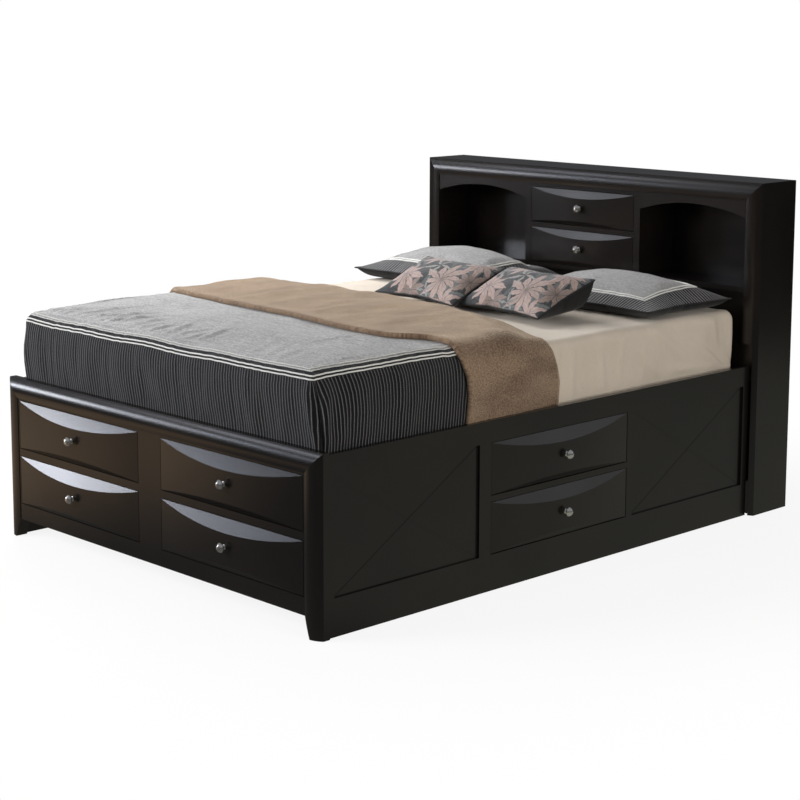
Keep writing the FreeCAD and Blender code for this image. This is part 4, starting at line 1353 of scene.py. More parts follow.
@dataclass
class Comforter:
    """The comforter: a boxed quilt with pinstriped sides, a band, cords and a heather top.

    Attributes:
        cover: The shape that it shares with the throw.
        side_count: Stations along each side; the next two are those of the foot and a corner.
        tuck: How far short of the throw's head edge it ends.
        soft: Length over which a corner's draw fades out along the side.
        skin: Thickness of its cloth.
        out: Way out from the bed at each station, in plan.
        middle: Station of the left corner's middle.
        down: Shares of a side, from its head end to the foot.
        over: Shares across the foot, from -1 to 1.
    """

    cover: Cover
    side_count: int = 96
    foot_count: int = 220
    corner_count: int = 13
    tuck: float = 60.0
    soft: float = 110.0
    skin: float = 6.0
    out: Array = field(init=False)
    middle: int = field(init=False)
    down: Array = field(init=False)
    over: Array = field(init=False)

    def __post_init__(self) -> None:
        """Lays out the walls' stations, closer together near the foot and its corners."""
        right = math.pi / 2
        corner = np.linspace(0.0, right, self.corner_count + 2)[1:-1]
        turn = np.concatenate([
            np.zeros(self.side_count), corner, np.full(self.foot_count, right),
            right + corner, np.full(self.side_count, 2.0 * right),
        ])
        self.out = np.stack([-np.cos(turn), -np.sin(turn)], 1)
        self.middle = self.side_count + self.corner_count // 2
        share = np.linspace(0.0, 1.0, self.side_count)
        span = np.linspace(-1.0, 1.0, self.foot_count)
        self.down, self.over = (0.6 * s + 0.4 * np.sin(s * right) for s in (share, span))

    def row(self, k: int) -> Array:
        """Lays out one row of the walls, without its pleats.

        Args:
            k: Index of the row.

        Returns:
            Points in plan.
        """
        radius = PLEAT_SHARES[k, 0]
        x = PLAN.half + SIDE_SHARES[k, 1] - radius
        y = PLAN.foot - FOOT_SHARES[k, 1] + radius
        left, right = self.cover.head_line(np.array([-0.72, 0.72])) - self.tuck
        m, inset = self.corner_count, CORNER_INSET[k]
        port, starboard = left + (y - left) * self.down, (right + (y - right) * self.down)[::-1]
        near, far = x - inset, LEFT_INSET * inset - x
        foot = np.interp(self.over, (-1, 1), (far, near))
        core = np.concatenate([
            np.stack([-x + (far + x) * np.exp(-((port - y) / self.soft) ** 2), port], 1),
            np.tile((far, y), (m, 1)),
            np.stack([foot, np.full(self.foot_count, y)], 1),
            np.tile((near, y), (m, 1)),
            np.stack([x - inset * np.exp(-((starboard - y) / self.soft) ** 2), starboard], 1),
        ])
        away = np.hypot(core[:, 0] - far, core[:, 1] - y)
        swell = LEFT_SWELL[k] * np.exp(-(away / 200.0) ** 2)
        return core + self.out * (radius + swell)[:, None]

    def height(self, k: int) -> Array:
        """Gives one row's height, easing from the sides' to the foot's.

        Args:
            k: Index of the row.

        Returns:
            Heights in millimetres.
        """
        path = distances(self.row(PATH_ROW))
        first, last = path[self.middle], path[-1 - self.middle]
        # The sides' heights give way to the foot's over the last 190 mm before each corner.
        foot = smooth_step((path - first + 190.0) / 210.0)
        foot = foot * smooth_step((last + 190.0 - path) / 210.0)
        return SIDE_SHARES[k, 0] * (1 - foot) + FOOT_SHARES[k, 0] * foot

    def plain_row(self, k: int) -> Array:
        """Gives one row's points without pleats, folds or puckers."""
        return np.column_stack([self.row(k), self.height(k)])

    def pleats(self, k: int, run: Array) -> Array:
        """Folds the cloth into both corners, deeper in the right one.

        Args:
            k: Index of the row.
            run: Distance along the row to each of its points.

        Returns:
            Distances out from the row, in millimetres.
        """
        _, depth, width = PLEAT_SHARES[k]
        sway = 0.25 * width * math.sin(k * 0.9)
        pleat = np.zeros_like(run)
        for centre, strength in ((run[self.middle], 0.3), (run[-1 - self.middle] + sway, 1.0)):
            away = (run - centre) / width
            lip = 0.3 * np.exp(-((abs(away) - 2.3) / 1.2) ** 2)
            pleat += strength * depth * (lip - np.exp(-(away ** 2)))
        return pleat

    def walls(self) -> tuple[Array, Array]:
        """Makes the sides, the foot and the rounded top edge.

        Returns:
            Points, from the hem up, and marks.
        """
        path = distances(self.row(PATH_ROW))
        folds = Ripples(5, 90.0, 260.0)
        waves = Ripples(9, 260.0, 900.0)
        hem = Ripples(15, 34.0, 80.0)
        level = 0.0 * path
        points, marks, climb = [], [], 0.0
        for k in range(len(SIDE_SHARES)):
            plan, z = self.row(k), self.height(k)
            pleat = self.pleats(k, distances(plan))
            free = math.sin(math.pi * min(k / 10.5, 1.0))
            puff = 2.0 * free * folds(path, z * 0.6) + 0.8 * free * hem(path, z * 0.25)
            rim = smooth_step((k - 7.0) / 3.0)
            z = z + rim * (2.0 * waves(path, level) + 0.5 * hem(path, level))
            points.append(np.column_stack([plan + self.out * (pleat + puff)[:, None], z]))
            if k:
                climb += float(np.linalg.norm(points[-1] - points[-2], axis=1).mean())
            marks.append(np.column_stack([path, np.full_like(path, climb)]))
        walls = np.array(points)
        plain = np.array([self.plain_row(k) for k in range(len(SIDE_SHARES))])
        walls = plain + (walls - plain) * self.cover.bare(walls)[..., None]
        return self.cover.settled(walls), np.array(marks) * MM

    def top(self, rim: Array) -> tuple[Array, Array]:
        """Fills the top between the walls' upper edge.

        Args:
            rim: The walls' last row of points, before they come down towards the head.

        Returns:
            Points and marks.
        """
        side = self.middle + 1
        left, right = rim[:side][::-1], rim[-side:]
        foot = rim[side - 1:len(rim) - side + 1]
        s = np.linspace(0.0, 1.0, len(foot))
        t = np.linspace(0.0, 1.0, side)
        head = left[-1] + (right[-1] - left[-1]) * s[:, None]
        station = self.cover.station(head[:, 0], head[:, 2] + self.cover.crown_at(head[:, 0]))
        bend = self.cover.head_line(station) - self.tuck
        head[:, 1] = bend + (left[-1, 1] - bend[0]) * (1 - s) + (right[-1, 1] - bend[-1]) * s
        down, over = t[:, None, None], s[None, :, None]
        corners = (1 - down) * ((1 - over) * foot[0] + over * foot[-1])
        corners = corners + down * ((1 - over) * head[0] + over * head[-1])
        grid = (1 - down) * foot + down * head + (1 - over) * left[:, None] + over * right[:, None]
        grid = grid - corners
        x, y = grid[..., 0], grid[..., 1]
        inset = np.minimum(s, 1 - s)[None, :] * 1400.0
        from_foot = y - foot[:, 1].min()
        rise = 1.0 - np.exp(-np.maximum(from_foot, 0.0) / self.soft)
        grid[..., 2] += self.cover.crown_at(x) * rise
        # Creases fade out towards the seams.
        calm = smooth_step(inset / 45.0) * smooth_step((from_foot - 4.0) / 40.0)
        grid[..., 2] += calm * self.cover.bare(grid) * self.wrinkles(x, y, from_foot)
        return self.cover.settled(grid), np.stack([x, y], -1) * MM

    def wrinkles(self, x: Array, y: Array, from_foot: Array) -> Array:
        """Gives the height of the top's creases.

        Args:
            x: Distance across.
            y: Distance up the bed.
            from_foot: Distance from the foot seam.

        Returns:
            Heights in millimetres.
        """
        swell = Ripples(21, 300.0, 620.0, (1.6, 1.0))
        drag = Ripples(47, 30.0, 80.0, (1.0, 6.0))
        cross = Ripples(59, 40.0, 110.0, (4.0, 1.0))
        near = np.exp(-(from_foot / 240.0) ** 2)
        pulled = drag(x + 0.35 * y, y)
        laid = np.clip(cross(x, y + 0.12 * x), 0.0, None) ** 1.5
        height = 3.4 * swell(x, y) + 0.8 * pulled * near + 1.4 * laid * (1.0 - 0.5 * near)
        return height + 2.4 * ridges(x, y, CREASES) + ridges(x, y, self.fan())

    @staticmethod
    def fan() -> list[tuple]:
        """Lays out the small folds that run up from the foot seam, calmer on the right.

        Returns:
            Both ends, half width and height of each fold.
        """
        seam, pitch, calm_from = 62.0, 47.0, 150.0
        draw = np.random.default_rng(33)
        folds = []
        for x in np.arange(-690.0, 700.0, pitch):
            start = x + draw.uniform(-14.0, 14.0)
            reach = draw.uniform(110.0, 240.0) * (1.0 if x < calm_from else 0.6)
            lean = -0.00035 * start + draw.uniform(-0.12, 0.12)
            top = draw.uniform(3.0, 5.6) * (1.0 if x < calm_from else 0.5)
            end = (start + lean * reach, seam + reach)
            folds.append(((start, seam), end, draw.uniform(9.0, 13.0), top))
        return folds

    def trim(self, walls: Array, row: float, lift: float) -> Array:
        """Finds the line of a cord or a row of stitches.

        Args:
            walls: The walls' points.
            row: Row that it follows, which can lie between two.
            lift: How far its middle stands out from the cloth.

        Returns:
            Its points in metres, from one side of the throw to the other.
        """
        normal = normals_of(walls)
        outwards = np.sign((normal[PATH_ROW, :, :2] * self.out).sum(1))[:, None]
        low, share = int(row), row - int(row)
        spot = walls[low] * (1 - share) + walls[low + 1] * share
        aim = normal[low] * (1 - share) + normal[low + 1] * share
        # Beyond this distance up the bed the throw hides it.
        seen = walls[0, :, 1] < 760.0
        return to_row((spot + aim * outwards * lift)[seen])

    def make(self, looks: "Looks", lines: LineWork) -> list[Object]:
        """Makes the comforter and its cords.

        Args:
            looks: The materials.
            lines: The node groups.

        Returns:
            The comforter, then its cords and stitches.
        """
        walls, wall_marks = self.walls()
        last, edge = len(SIDE_SHARES) - 1, self.middle
        top, top_marks = self.top(self.plain_row(last))
        top[0] = walls[-1, edge:walls.shape[1] - edge]
        top[:, 0], top[:, -1] = walls[-1, :edge + 1][::-1], walls[-1, -edge - 1:]
        cloths = [looks.stripe, looks.band, looks.heather]
        pick = [(k >= BAND_ROW) + (k >= HEATHER_ROW) for k in range(last)]
        quilt = patch_object("comforter_quilt", [
            Patch(to_row(walls), wall_marks, pick),
            Patch(to_row(top), top_marks, cloths.index(looks.heather), True),
        ], cloths, 1e-4)
        thickened(quilt, self.skin * MM, -1.0)
        cords = lines.lay(
            "comforter_cords", [self.trim(walls, row, 1.3) for row in CORD_ROWS],
            lines.piping, looks.cord, Radius=2.5, Step=5.0)
        stitches = lines.lay(
            "comforter_stitches", [self.trim(walls, row, 0.5) for row in STITCH_ROWS],
            lines.stitching, looks.thread, Radius=2.0, Step=8.5, Length=4.6)
        return [quilt, cords, stitches]


@dataclass
class Throw:
    """A plush blanket folded double, its fold towards the foot of the bed.

    Attributes:
        cover: The made bed that it lies on.
        across: Points from side to side.
        cloth: Thickness of one layer.
        nose: Radius of the fold.
        under: How far the lower layer's middle lies above the comforter.
        short: How far the lower layer ends before the upper one.
        settle: Length over which the upper layer comes down behind the fold.
        half_path: Path over the bed from its middle to a hem at station 1.
        reach: Station of its hems.
    """

    cover: Cover
    across: int = 190
    cloth: float = 5.6
    nose: float = 6.4
    under: float = 4.2
    short: float = 9.0
    settle: float = 46.0
    half_path: float = 1060.0
    reach: float = 0.975

    def layers(self, foot: Array, head: Array) -> tuple[Array, Array, Array]:
        """Lays out both layers, from the hidden edge round the fold to the seen one.

        Args:
            foot: Distance up the bed of the fold at each station.
            head: The same of the edges.

        Returns:
            Distance up the bed, lift, and share of the way from the fold, by row.
        """
        over = self.under + 2 * self.nose
        stack = self.under + self.cloth + 0.6
        level = np.ones_like(foot)
        rows = []
        for share in np.linspace(1.0, 0.0, 26)[:-1] ** 1.2:
            rows.append((foot + self.nose + share * (head - self.short - foot - self.nose),
                         self.under * level, -share))
        for angle in np.linspace(-math.pi / 2, math.pi / 2, 11):
            middle = (self.under + over) / 2
            rows.append((foot + self.nose - self.nose * math.cos(angle),
                         (middle + self.nose * math.sin(angle)) * level, 0.0))
        for share in np.linspace(0.0, 1.0, 70)[1:] ** 1.5:
            gap = share * (head - foot - self.nose)
            rows.append((foot + self.nose + gap,
                         stack + (over - stack) * np.exp(-(gap / self.settle) ** 2), share))
        y, lift, share = zip(*rows)
        return np.array(y), np.array(lift), np.array(share)[:, None]

    def make(self, looks: "Looks") -> tuple[Object, tuple[float, float]]:
        """Makes the throw.

        Args:
            looks: The materials.

        Returns:
            The piece, and its flat width and length in metres before it was folded.
        """
        t = np.linspace(-1.0, 1.0, self.across) * self.reach
        path = t * self.half_path
        head = self.cover.head_line(t)
        foot = self.cover.border(THROW_FOOT, t) + 3.0 * Ripples(3, 130.0, 330.0)(path, 0.0 * t)
        y, lift, share = self.layers(foot, head)
        soft = Ripples(17, 170.0, 420.0, (1.0, 1.5))
        dents = Ripples(29, 60.0, 150.0, (1.0, 1.7))
        free = smooth_step((share - 0.03) / 0.12) * (1 - smooth_step((share - 0.93) / 0.07))
        bumps = 2.0 * soft(path[None, :], y) + 1.0 * dents(path[None, :], y) + 1.8
        lift = lift + free * np.clip(bumps, 0.0, None)
        # The hems hang close to the bed.
        wide_t, wide_path = np.broadcast_to(t, y.shape), np.broadcast_to(path, y.shape)
        tucked = smooth_step((np.abs(wide_t) - 0.90) / 0.05)
        lift = lift * (1 - 0.16 * tucked) - 0.8 * tucked
        points = self.cover.at(wide_t, y, lift)
        # The lower layer has another part of the cloth's pattern.
        marks = np.stack([wide_path, y + 900.0 * (share < 0)], -1) * MM
        piece = patch_object("throw_blanket", [Patch(to_row(points), marks)], [looks.plush], 1e-6)
        thickened(piece, self.cloth * MM, 0.0)
        width = 2.0 * float((head - foot).mean()) * MM
        return piece, (width, 2.0 * self.half_path * MM * self.reach)


@dataclass
class Sheet:
    """The mattress in its fitted sheet.

    Attributes:
        edge: Radius of the upper and lower edges.
        foot_corner: Radius of its corners at the foot.
        head_corner: Radius of its corners at the head.
        bulge: How far the cloth may stand out.
        tuck_height: Height of the point at the head where the folds gather.
    """

    edge: float = 40.0
    foot_corner: float = 80.0
    head_corner: float = 34.0
    bulge: float = 2.4
    tuck_height: float = 545.0

    def make(self, looks: "Looks") -> Object:
        """Makes the sheeted mattress.

        Args:
            looks: The materials.

        Returns:
            The piece.
        """
        half = np.array([PLAN.half, (PLAN.head - PLAN.foot) / 2, (PLAN.top - PLAN.low) / 2])
        centre = np.array([0.0, (PLAN.head + PLAN.foot) / 2, (PLAN.top + PLAN.low) / 2])
        # Cells are finer where the cloth is seen, on the head's half.
        hidden = -0.05 * half[1]
        ways = (
            np.linspace(-half[0], half[0], 104),
            np.r_[np.linspace(-half[1], hidden, 24), np.linspace(hidden, half[1], 130)[1:]],
            np.linspace(-half[2], half[2], 34),
        )
        patches = []
        for axis in range(3):
            for sign in (-1.0, 1.0):
                parts = list(np.meshgrid(*(ways[k] for k in range(3) if k != axis), indexing="ij"))
                marks = np.stack(parts, -1) * MM
                parts.insert(axis, np.full_like(parts[0], sign * half[axis]))
                cube = np.stack(parts, -1)
                # The foot's rounder corners ease into the head's.
                share = smooth_step((cube[..., 1] + 900.0) / 600.0)
                corner = self.foot_corner + (self.head_corner - self.foot_corner) * share
                radius = np.stack([corner, corner, np.full_like(corner, self.edge)], -1)
                inner = np.clip(cube, radius - half, half - radius)
                away = unit((cube - inner) / radius)
                spot = inner + away * radius
                spot = spot + away * self.dents(spot + centre, away)[..., None]
                patches.append(Patch(to_row(spot + centre), marks))
        return patch_object("fitted_sheet", patches, [looks.sheet], 2e-5)

    def dents(self, spot: Array, away: Array) -> Array:
        """Gives how far the cloth is drawn in or stands out.

        Args:
            spot: Points of the mattress in millimetres.
            away: Their normals.

        Returns:
            Distances, at most a little above zero.
        """
        x, y, z = spot[..., 0], spot[..., 1], spot[..., 2]
        on_top = np.clip(away[..., 2], 0.0, 1.0)
        on_side = np.clip(np.abs(away[..., 0]), 0.0, 1.0)
        soft = Ripples(61, 120.0, 360.0)
        drape = Ripples(67, 60.0, 170.0, (1.0, 4.0))
        top = -1.6 - 1.1 * soft(x, y) - 1.0 * np.clip(drape(y + 0.3 * x, x), 0.0, None)
        side = -4.6 - 2.0 * soft(y, z) - 1.6 * np.clip(drape(y + 0.3 * z, z), 0.0, None) ** 1.2
        side = side + 1.7 * ridges(y, z, SHEET_FOLDS)
        # Nine folds fan out of the point where the cloth is gathered.
        up, back = z - self.tuck_height, PLAN.head - y
        reach, angle = np.hypot(back, up), np.arctan2(up, back)
        gather = np.cos(angle * 9.0) * np.exp(-((reach - 70.0) / 85.0) ** 2)
        side = side + 3.0 * gather - 2.0 * np.exp(-((reach / 120.0) ** 2))
        dip = on_top * np.minimum(top, 0.0) + on_side * np.minimum(side, self.bulge)
        return np.clip(dip, -11.0, self.bulge)


@dataclass(frozen=True)
class Pillow:
    """A stuffed pillow, blown up by cloth simulation and laid on the bed, in millimetres.

    Attributes:
        name: Name of the piece.
        node: The solid that it stands for.
        width: Across.
        depth: From front to back.
        rise: Height above the seam.
        sag: Depth below it.
        centre: Where its middle lies.
        tilt: Lean about the bed's width, in degrees.
        turn: Turn about the vertical, in degrees.
        dome: How pointed its top is; 1 leaves it as stuffed.
        lean: How much fuller its back is than its middle.
        edge: How far in from the seam its underside comes down.
        wedge: How much deeper its underside hangs at the back.
        cells: Cells across and deep.
        seed: Seed of its creases.
        frames: Steps of the simulation.
        flat_share: Share of the unstuffed outline in the final one, which keeps its corners.
        wall_gap: How far its back stays from the headboard, in metres.
        drawer_under: Height that stays free for the headboard's lower drawer, in metres.
    """

    name: str
    node: str
    width: float
    depth: float
    rise: float
    sag: float
    centre: tuple[float, float, float]
    tilt: float
    turn: float
    dome: float
    lean: float
    edge: float
    wedge: float
    cells: tuple[int, int]
    seed: int
    frames: int = 22
    flat_share: float = 0.72
    wall_gap: float = 0.012
    drawer_under: float = 0.828

    @property
    def half(self) -> Array:
        """Half its width and half its depth, in millimetres."""
        return np.array([self.width, self.depth]) / 2

    def flat(self) -> tuple[Array, Array]:
        """Makes the two unstuffed faces.

        Returns:
            Points of the upper and the lower face.
        """
        u, v = np.meshgrid(*(np.linspace(-1, 1, n + 1) for n in self.cells), indexing="ij")
        pull = 0.02
        x = u * self.width / 2 * (1.03 - pull * (1 - v ** 2))
        y = v * self.depth / 2 * (1.03 - pull * (1 - u ** 2))
        loft = 16.0 * (1 - u ** 4) * (1 - v ** 4)
        crease = Ripples(self.seed, 60.0, 160.0)
        loft = loft * (1.0 + 0.10 * crease(x, y))
        return np.stack([x, y, loft], -1) * MM, np.stack([x, y, -loft], -1) * MM

    def make(self, materials: Sequence[Material]) -> tuple[Object, Array]:
        """Stuffs the pillow and lays it in place.

        Args:
            materials: Its materials.

        Returns:
            The piece, and the upper face's points after stuffing, in the row's frame.
        """
        upper, lower = self.flat()
        sizes = zip(self.cells, (self.width, self.depth))
        u, v = np.meshgrid(
            *(np.linspace(-0.5, 0.5, n + 1) * size * MM for n, size in sizes), indexing="ij")
        marks = np.stack([u, v], -1)
        piece = patch_object(
            self.name, [Patch(upper, marks), Patch(lower, marks, 1, True)], materials, 1e-6)
        rest = np.array([p.co for p in piece.data.vertices])
        laid = self.cleared(self.placed(self.shaped(rest, self.stuffed(piece))))
        piece.data.vertices.foreach_set("co", laid.astype(np.float32).ravel())
        piece.data.update()
        grid = self.face_grid(laid, rest, upper)
        fine = piece.modifiers.new("fine", "SUBSURF")
        fine.levels = fine.render_levels = 1
        baked(piece)
        piece.data.shade_smooth()
        return piece, grid

    def shaped(self, rest: Array, points: Array) -> Array:
        """Gives the blown-up pillow its real outline, crown and resting underside.

        Args:
            rest: Its points before stuffing.
            points: Its points after the simulation.

        Returns:
            Points in metres round its own middle.
        """
        shape = points.copy()
        full = np.clip(points[:, 2] / np.abs(points[:, 2]).max(), 0.0, 1.0)
        reach = np.abs(points[:, :2]).max(0)
        flat = rest[:, :2] / np.abs(rest[:, :2]).max(0)
        back = flat[:, 1]
        domed = self.rise * MM * full ** self.dome * (1.0 + self.lean * back)
        gap = (self.half * (1.0 - np.abs(flat))).min(1)
        hang = self.sag + self.wedge * (back + 1.0) / 2.0
        pressed = -hang * MM * np.tanh(gap / self.edge)
        shape[:, 2] = np.where(rest[:, 2] < -1e-7, pressed, domed)
        blown = (1.0 - self.flat_share) * points[:, :2] / reach
        shape[:, :2] = (self.flat_share * flat + blown) * self.half * MM
        return shape

    def placed(self, shape: Array) -> Array:
        """Turns the pillow and moves it to its place on the bed.

        Args:
            shape: Its points round its own middle.

        Returns:
            Its points in the row's frame.
        """
        lean = Matrix.Rotation(math.radians(self.tilt), 3, "X")
        turn = Matrix.Rotation(math.radians(self.turn), 3, "Z")
        return shape @ np.array(turn @ lean).T + to_row(np.array(self.centre))

    def cleared(self, laid: Array) -> Array:
        """Presses the pillow flat where the headboard or its lower drawer would meet it.

        Args:
            laid: Its points in place, which are changed.

        Returns:
            The same points.
        """
        give, low_give = 0.016, 0.007
        wall = FOOT_FACE_Y + PLAN.head * MM - self.wall_gap
        past = np.maximum(laid[:, 1] - wall, 0.0)
        laid[:, 1] += give * np.tanh(past / give) - past
        # The drawer slides out 330 mm to each side of the middle, from 1940 mm up the bed.
        zone = smooth_step((0.330 - np.abs(laid[:, 0])) / 0.060)
        zone *= smooth_step((laid[:, 1] - FOOT_FACE_Y - 1.940) / 0.050)
        above = np.maximum(laid[:, 2] - self.drawer_under, 0.0)
        laid[:, 2] -= zone * (above - low_give * np.tanh(above / low_give))
        return laid

    @staticmethod
    def face_grid(laid: Array, rest: Array, upper: Array) -> Array:
        """Puts the stuffed points of the upper face back into their grid.

        Args:
            laid: All its points in place.
            rest: All its points before stuffing.
            upper: The upper face's grid before stuffing.

        Returns:
            The grid in place.
        """
        wanted = upper.astype(np.float32).astype(float).reshape(-1, 3)
        key = {tuple(np.round(p, 6)): i for i, p in enumerate(rest)}
        index = np.array([key.get(tuple(np.round(p, 6)), -1) for p in wanted])
        lost = index < 0
        if lost.any():
            far = ((rest[None] - upper.reshape(-1, 3)[lost][:, None]) ** 2).sum(-1)
            index[lost] = far.argmin(1)
        return laid[index].reshape(upper.shape)

    def stuffed(self, piece: Object) -> Array:
        """Blows the pillow up.

        Args:
            piece: The flat pillow.

        Returns:
            Its points after the simulation.
        """
        scene = bpy.context.scene
        scene.frame_set(1)
        cloth = piece.modifiers.new("stuffing", "CLOTH")
        for name, setting in (
            ("quality", 5), ("mass", 0.2), ("tension_stiffness", 30.0),
            ("compression_stiffness", 12.0), ("shear_stiffness", 12.0),
            ("bending_stiffness", 0.4), ("air_damping", 2.0), ("use_pressure", True),
            ("uniform_pressure_force", 5.0),
        ):
            setattr(cloth.settings, name, setting)
        cloth.settings.effector_weights.gravity = 0.0
        cloth.point_cache.frame_start, cloth.point_cache.frame_end = 1, self.frames
        for step in range(1, self.frames + 1):
            scene.frame_set(step)
        graph = bpy.context.evaluated_depsgraph_get()
        blown = piece.evaluated_get(graph).to_mesh()
        points = np.array([p.co for p in blown.vertices])
        piece.evaluated_get(graph).to_mesh_clear()
        piece.modifiers.clear()
        scene.frame_set(1)
        return points


SHAM_SIZE, SHAM_BORDER = (700.0, 480.0), 95.0
ACCENT_SIZE = (447.0, 290.0)
PILLOWS = (
    Pillow("left_sham_pillow", "left_sham", *SHAM_SIZE, 92.0, 39.0,
           (-428.0, 1860.0, 801.0), 0.0, -3.0, 0.95, 0.30, 38.0, 0.0, (58, 40), 2),
    Pillow("right_sham_pillow", "right_sham", *SHAM_SIZE, 82.0, 34.0,
           (389.0, 1843.0, 796.0), 0.0, 0.0, 1.1, 0.45, 38.0, 0.0, (58, 40), 4),
    Pillow("left_accent_cushion", "left_accent_pillow", *ACCENT_SIZE, 56.0, 27.0,
           (-76.0, 1406.0, 844.0), 23.0, -5.0, 0.9, 0.1, 46.0, 96.0, (46, 32), 6),
    Pillow("right_accent_cushion", "right_accent_pillow", *ACCENT_SIZE, 56.0, 27.0,
           (332.0, 1416.0, 844.0), 23.0, -6.9, 0.9, 0.1, 46.0, 96.0, (46, 32), 8),
)


def border_line(grid: Array, half: Array, inset: float, lift: float) -> Array:
    """Finds the line that runs a set distance inside a pillow's edge.

    Args:
        grid: The upper face's points.
        half: The face's half width and half depth in metres.
        inset: Distance in from the edge.
        lift: Distance out from the cloth.

    Returns:
        A closed line of points.
    """
    rows, columns = grid.shape[:2]
    normal = normals_of(grid)
    normal *= np.sign(normal[rows // 2, columns // 2, 2])
    raised = grid + normal * lift
    per_side = 60
    corners = np.array([(-1, -1), (1, -1), (1, 1), (-1, 1)]) * (half - inset)
    line = []
    for start, end in zip(corners, np.roll(corners, -1, axis=0)):
        for step in range(per_side):
            u, v = start + (end - start) * step / per_side
            a = (u / half[0] + 1) / 2 * (rows - 1)
            b = (v / half[1] + 1) / 2 * (columns - 1)
            i, j = min(int(a), rows - 2), min(int(b), columns - 2)
            p, q = a - i, b - j
            line.append((1 - p) * ((1 - q) * raised[i, j] + q * raised[i, j + 1])
                        + p * ((1 - q) * raised[i + 1, j] + q * raised[i + 1, j + 1]))
    return np.array(line)


def edge_line(grid: Array) -> Array:
    """Gives the closed line round a pillow's seam from its upper face's points."""
    return np.concatenate([grid[:-1, 0], grid[-1, :-1], grid[:0:-1, -1], grid[0, :0:-1]])


# ---- the bed's looks ----


@dataclass(frozen=True)
class Looks:
    """All materials of the bed."""

    wood_x: Material
    wood_y: Material
    wood_z: Material
    case: Material
    plain_x: Material
    plain_y: Material
    nickel: Material
    zinc: Material
    stripe: Material
    charcoal_and_painted_shade: Material
    band: Material
    heather: Material
    sham: Material
    plush: Material
    sheet: Material
    printed: Material
    cord: Material
    thread: Material


def build_looks() -> Looks:
    """Builds every material once.

    Returns:
        The materials.
    """
    sham_half, accent_half = (
        (width * MM / 2, depth * MM / 2) for width, depth in (SHAM_SIZE, ACCENT_SIZE))
    finishes = {
        "wood_x": Lacquer("black_lacquer_x", grain=Grain.ACROSS),
        "wood_y": Lacquer("black_lacquer_y", grain=Grain.ALONG),
        "wood_z": Lacquer("black_lacquer_z", grain=Grain.UPRIGHT),
        "case": Lacquer("stained_board", "#2A221D", "#33291F", Grain.ALONG, (0.5, 0.65)),
        "plain_x": PlainWood("drawer_wood_x", grain=Grain.ACROSS),
        "plain_y": PlainWood("drawer_wood_y", grain=Grain.ALONG),
        "nickel": Metal("satin_nickel", "#E4E1DB", (0.2, 0.32)),
        "zinc": Metal("zinc_plate", "#B9BCC0", (0.3, 0.45)),
        "stripe": Pinstripe("pinstripe", "#0E0E0F", "#6E6E70", 12.5, Run.ALONG_PATH),
        "charcoal_and_painted_shade": CHARCOAL_AND_SHADE_CLOTH, "band": BAND_CLOTH, "heather": HEATHER,
        "sham": Pinstripe("sham_pinstripe", "#111112", "#ACACAE", 13.5, Run.TO_BORDER,
                          sham_half, SHAM_BORDER * MM, SHAM_MIDDLE),
        "plush": Plush("camel_plush", "#97806A", "#58463A"),
        "sheet": Weave("sheet_cotton", "#C8BDAF", "#B3A798", 0.35, 0.15, 1.11, crease=1.4),
        "printed": Print("leaf_print", PRINT_GROUND, SPRAY, accent_half),
        "cord": Cord("white_cord", "#DAD9D5"), "thread": Cord("pale_thread", "#D0CFCB"),
    }
    return Looks(**{name: finish.build() for name, finish in finishes.items()})


@dataclass
class FrameDresser:
    """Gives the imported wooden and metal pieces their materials."""

    looks: Looks

    def pick(self, node: str) -> Material:
        """Chooses a node's material.

        Args:
            node: Name of the node.

        Returns:
            Its material.
        """
        looks = self.looks
        if node.endswith("_knob"):
            return looks.nickel
        if node in ("drawer_slides", "corner_brackets"):
            return looks.zinc
        if node.endswith("_drawer_box") or node == "slats":
            return looks.plain_y if "side" in node else looks.plain_x
        if node.endswith("_case"):
            return looks.case
        if node.endswith("_leg") or node in ("headboard_left_side", "headboard_right_side"):
            return looks.wood_z
        if "side" in node or node == "centre_support":
            return looks.wood_y
        return looks.wood_x

    def dress(self) -> None:
        """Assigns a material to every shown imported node."""
        for name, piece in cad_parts.items():
            material = self.pick(name)
            if not piece.data.materials:
                piece.data.materials.append(material)
            for place in piece.material_slots:
                place.material = material
            log.info("%s in %s", name, material.name)


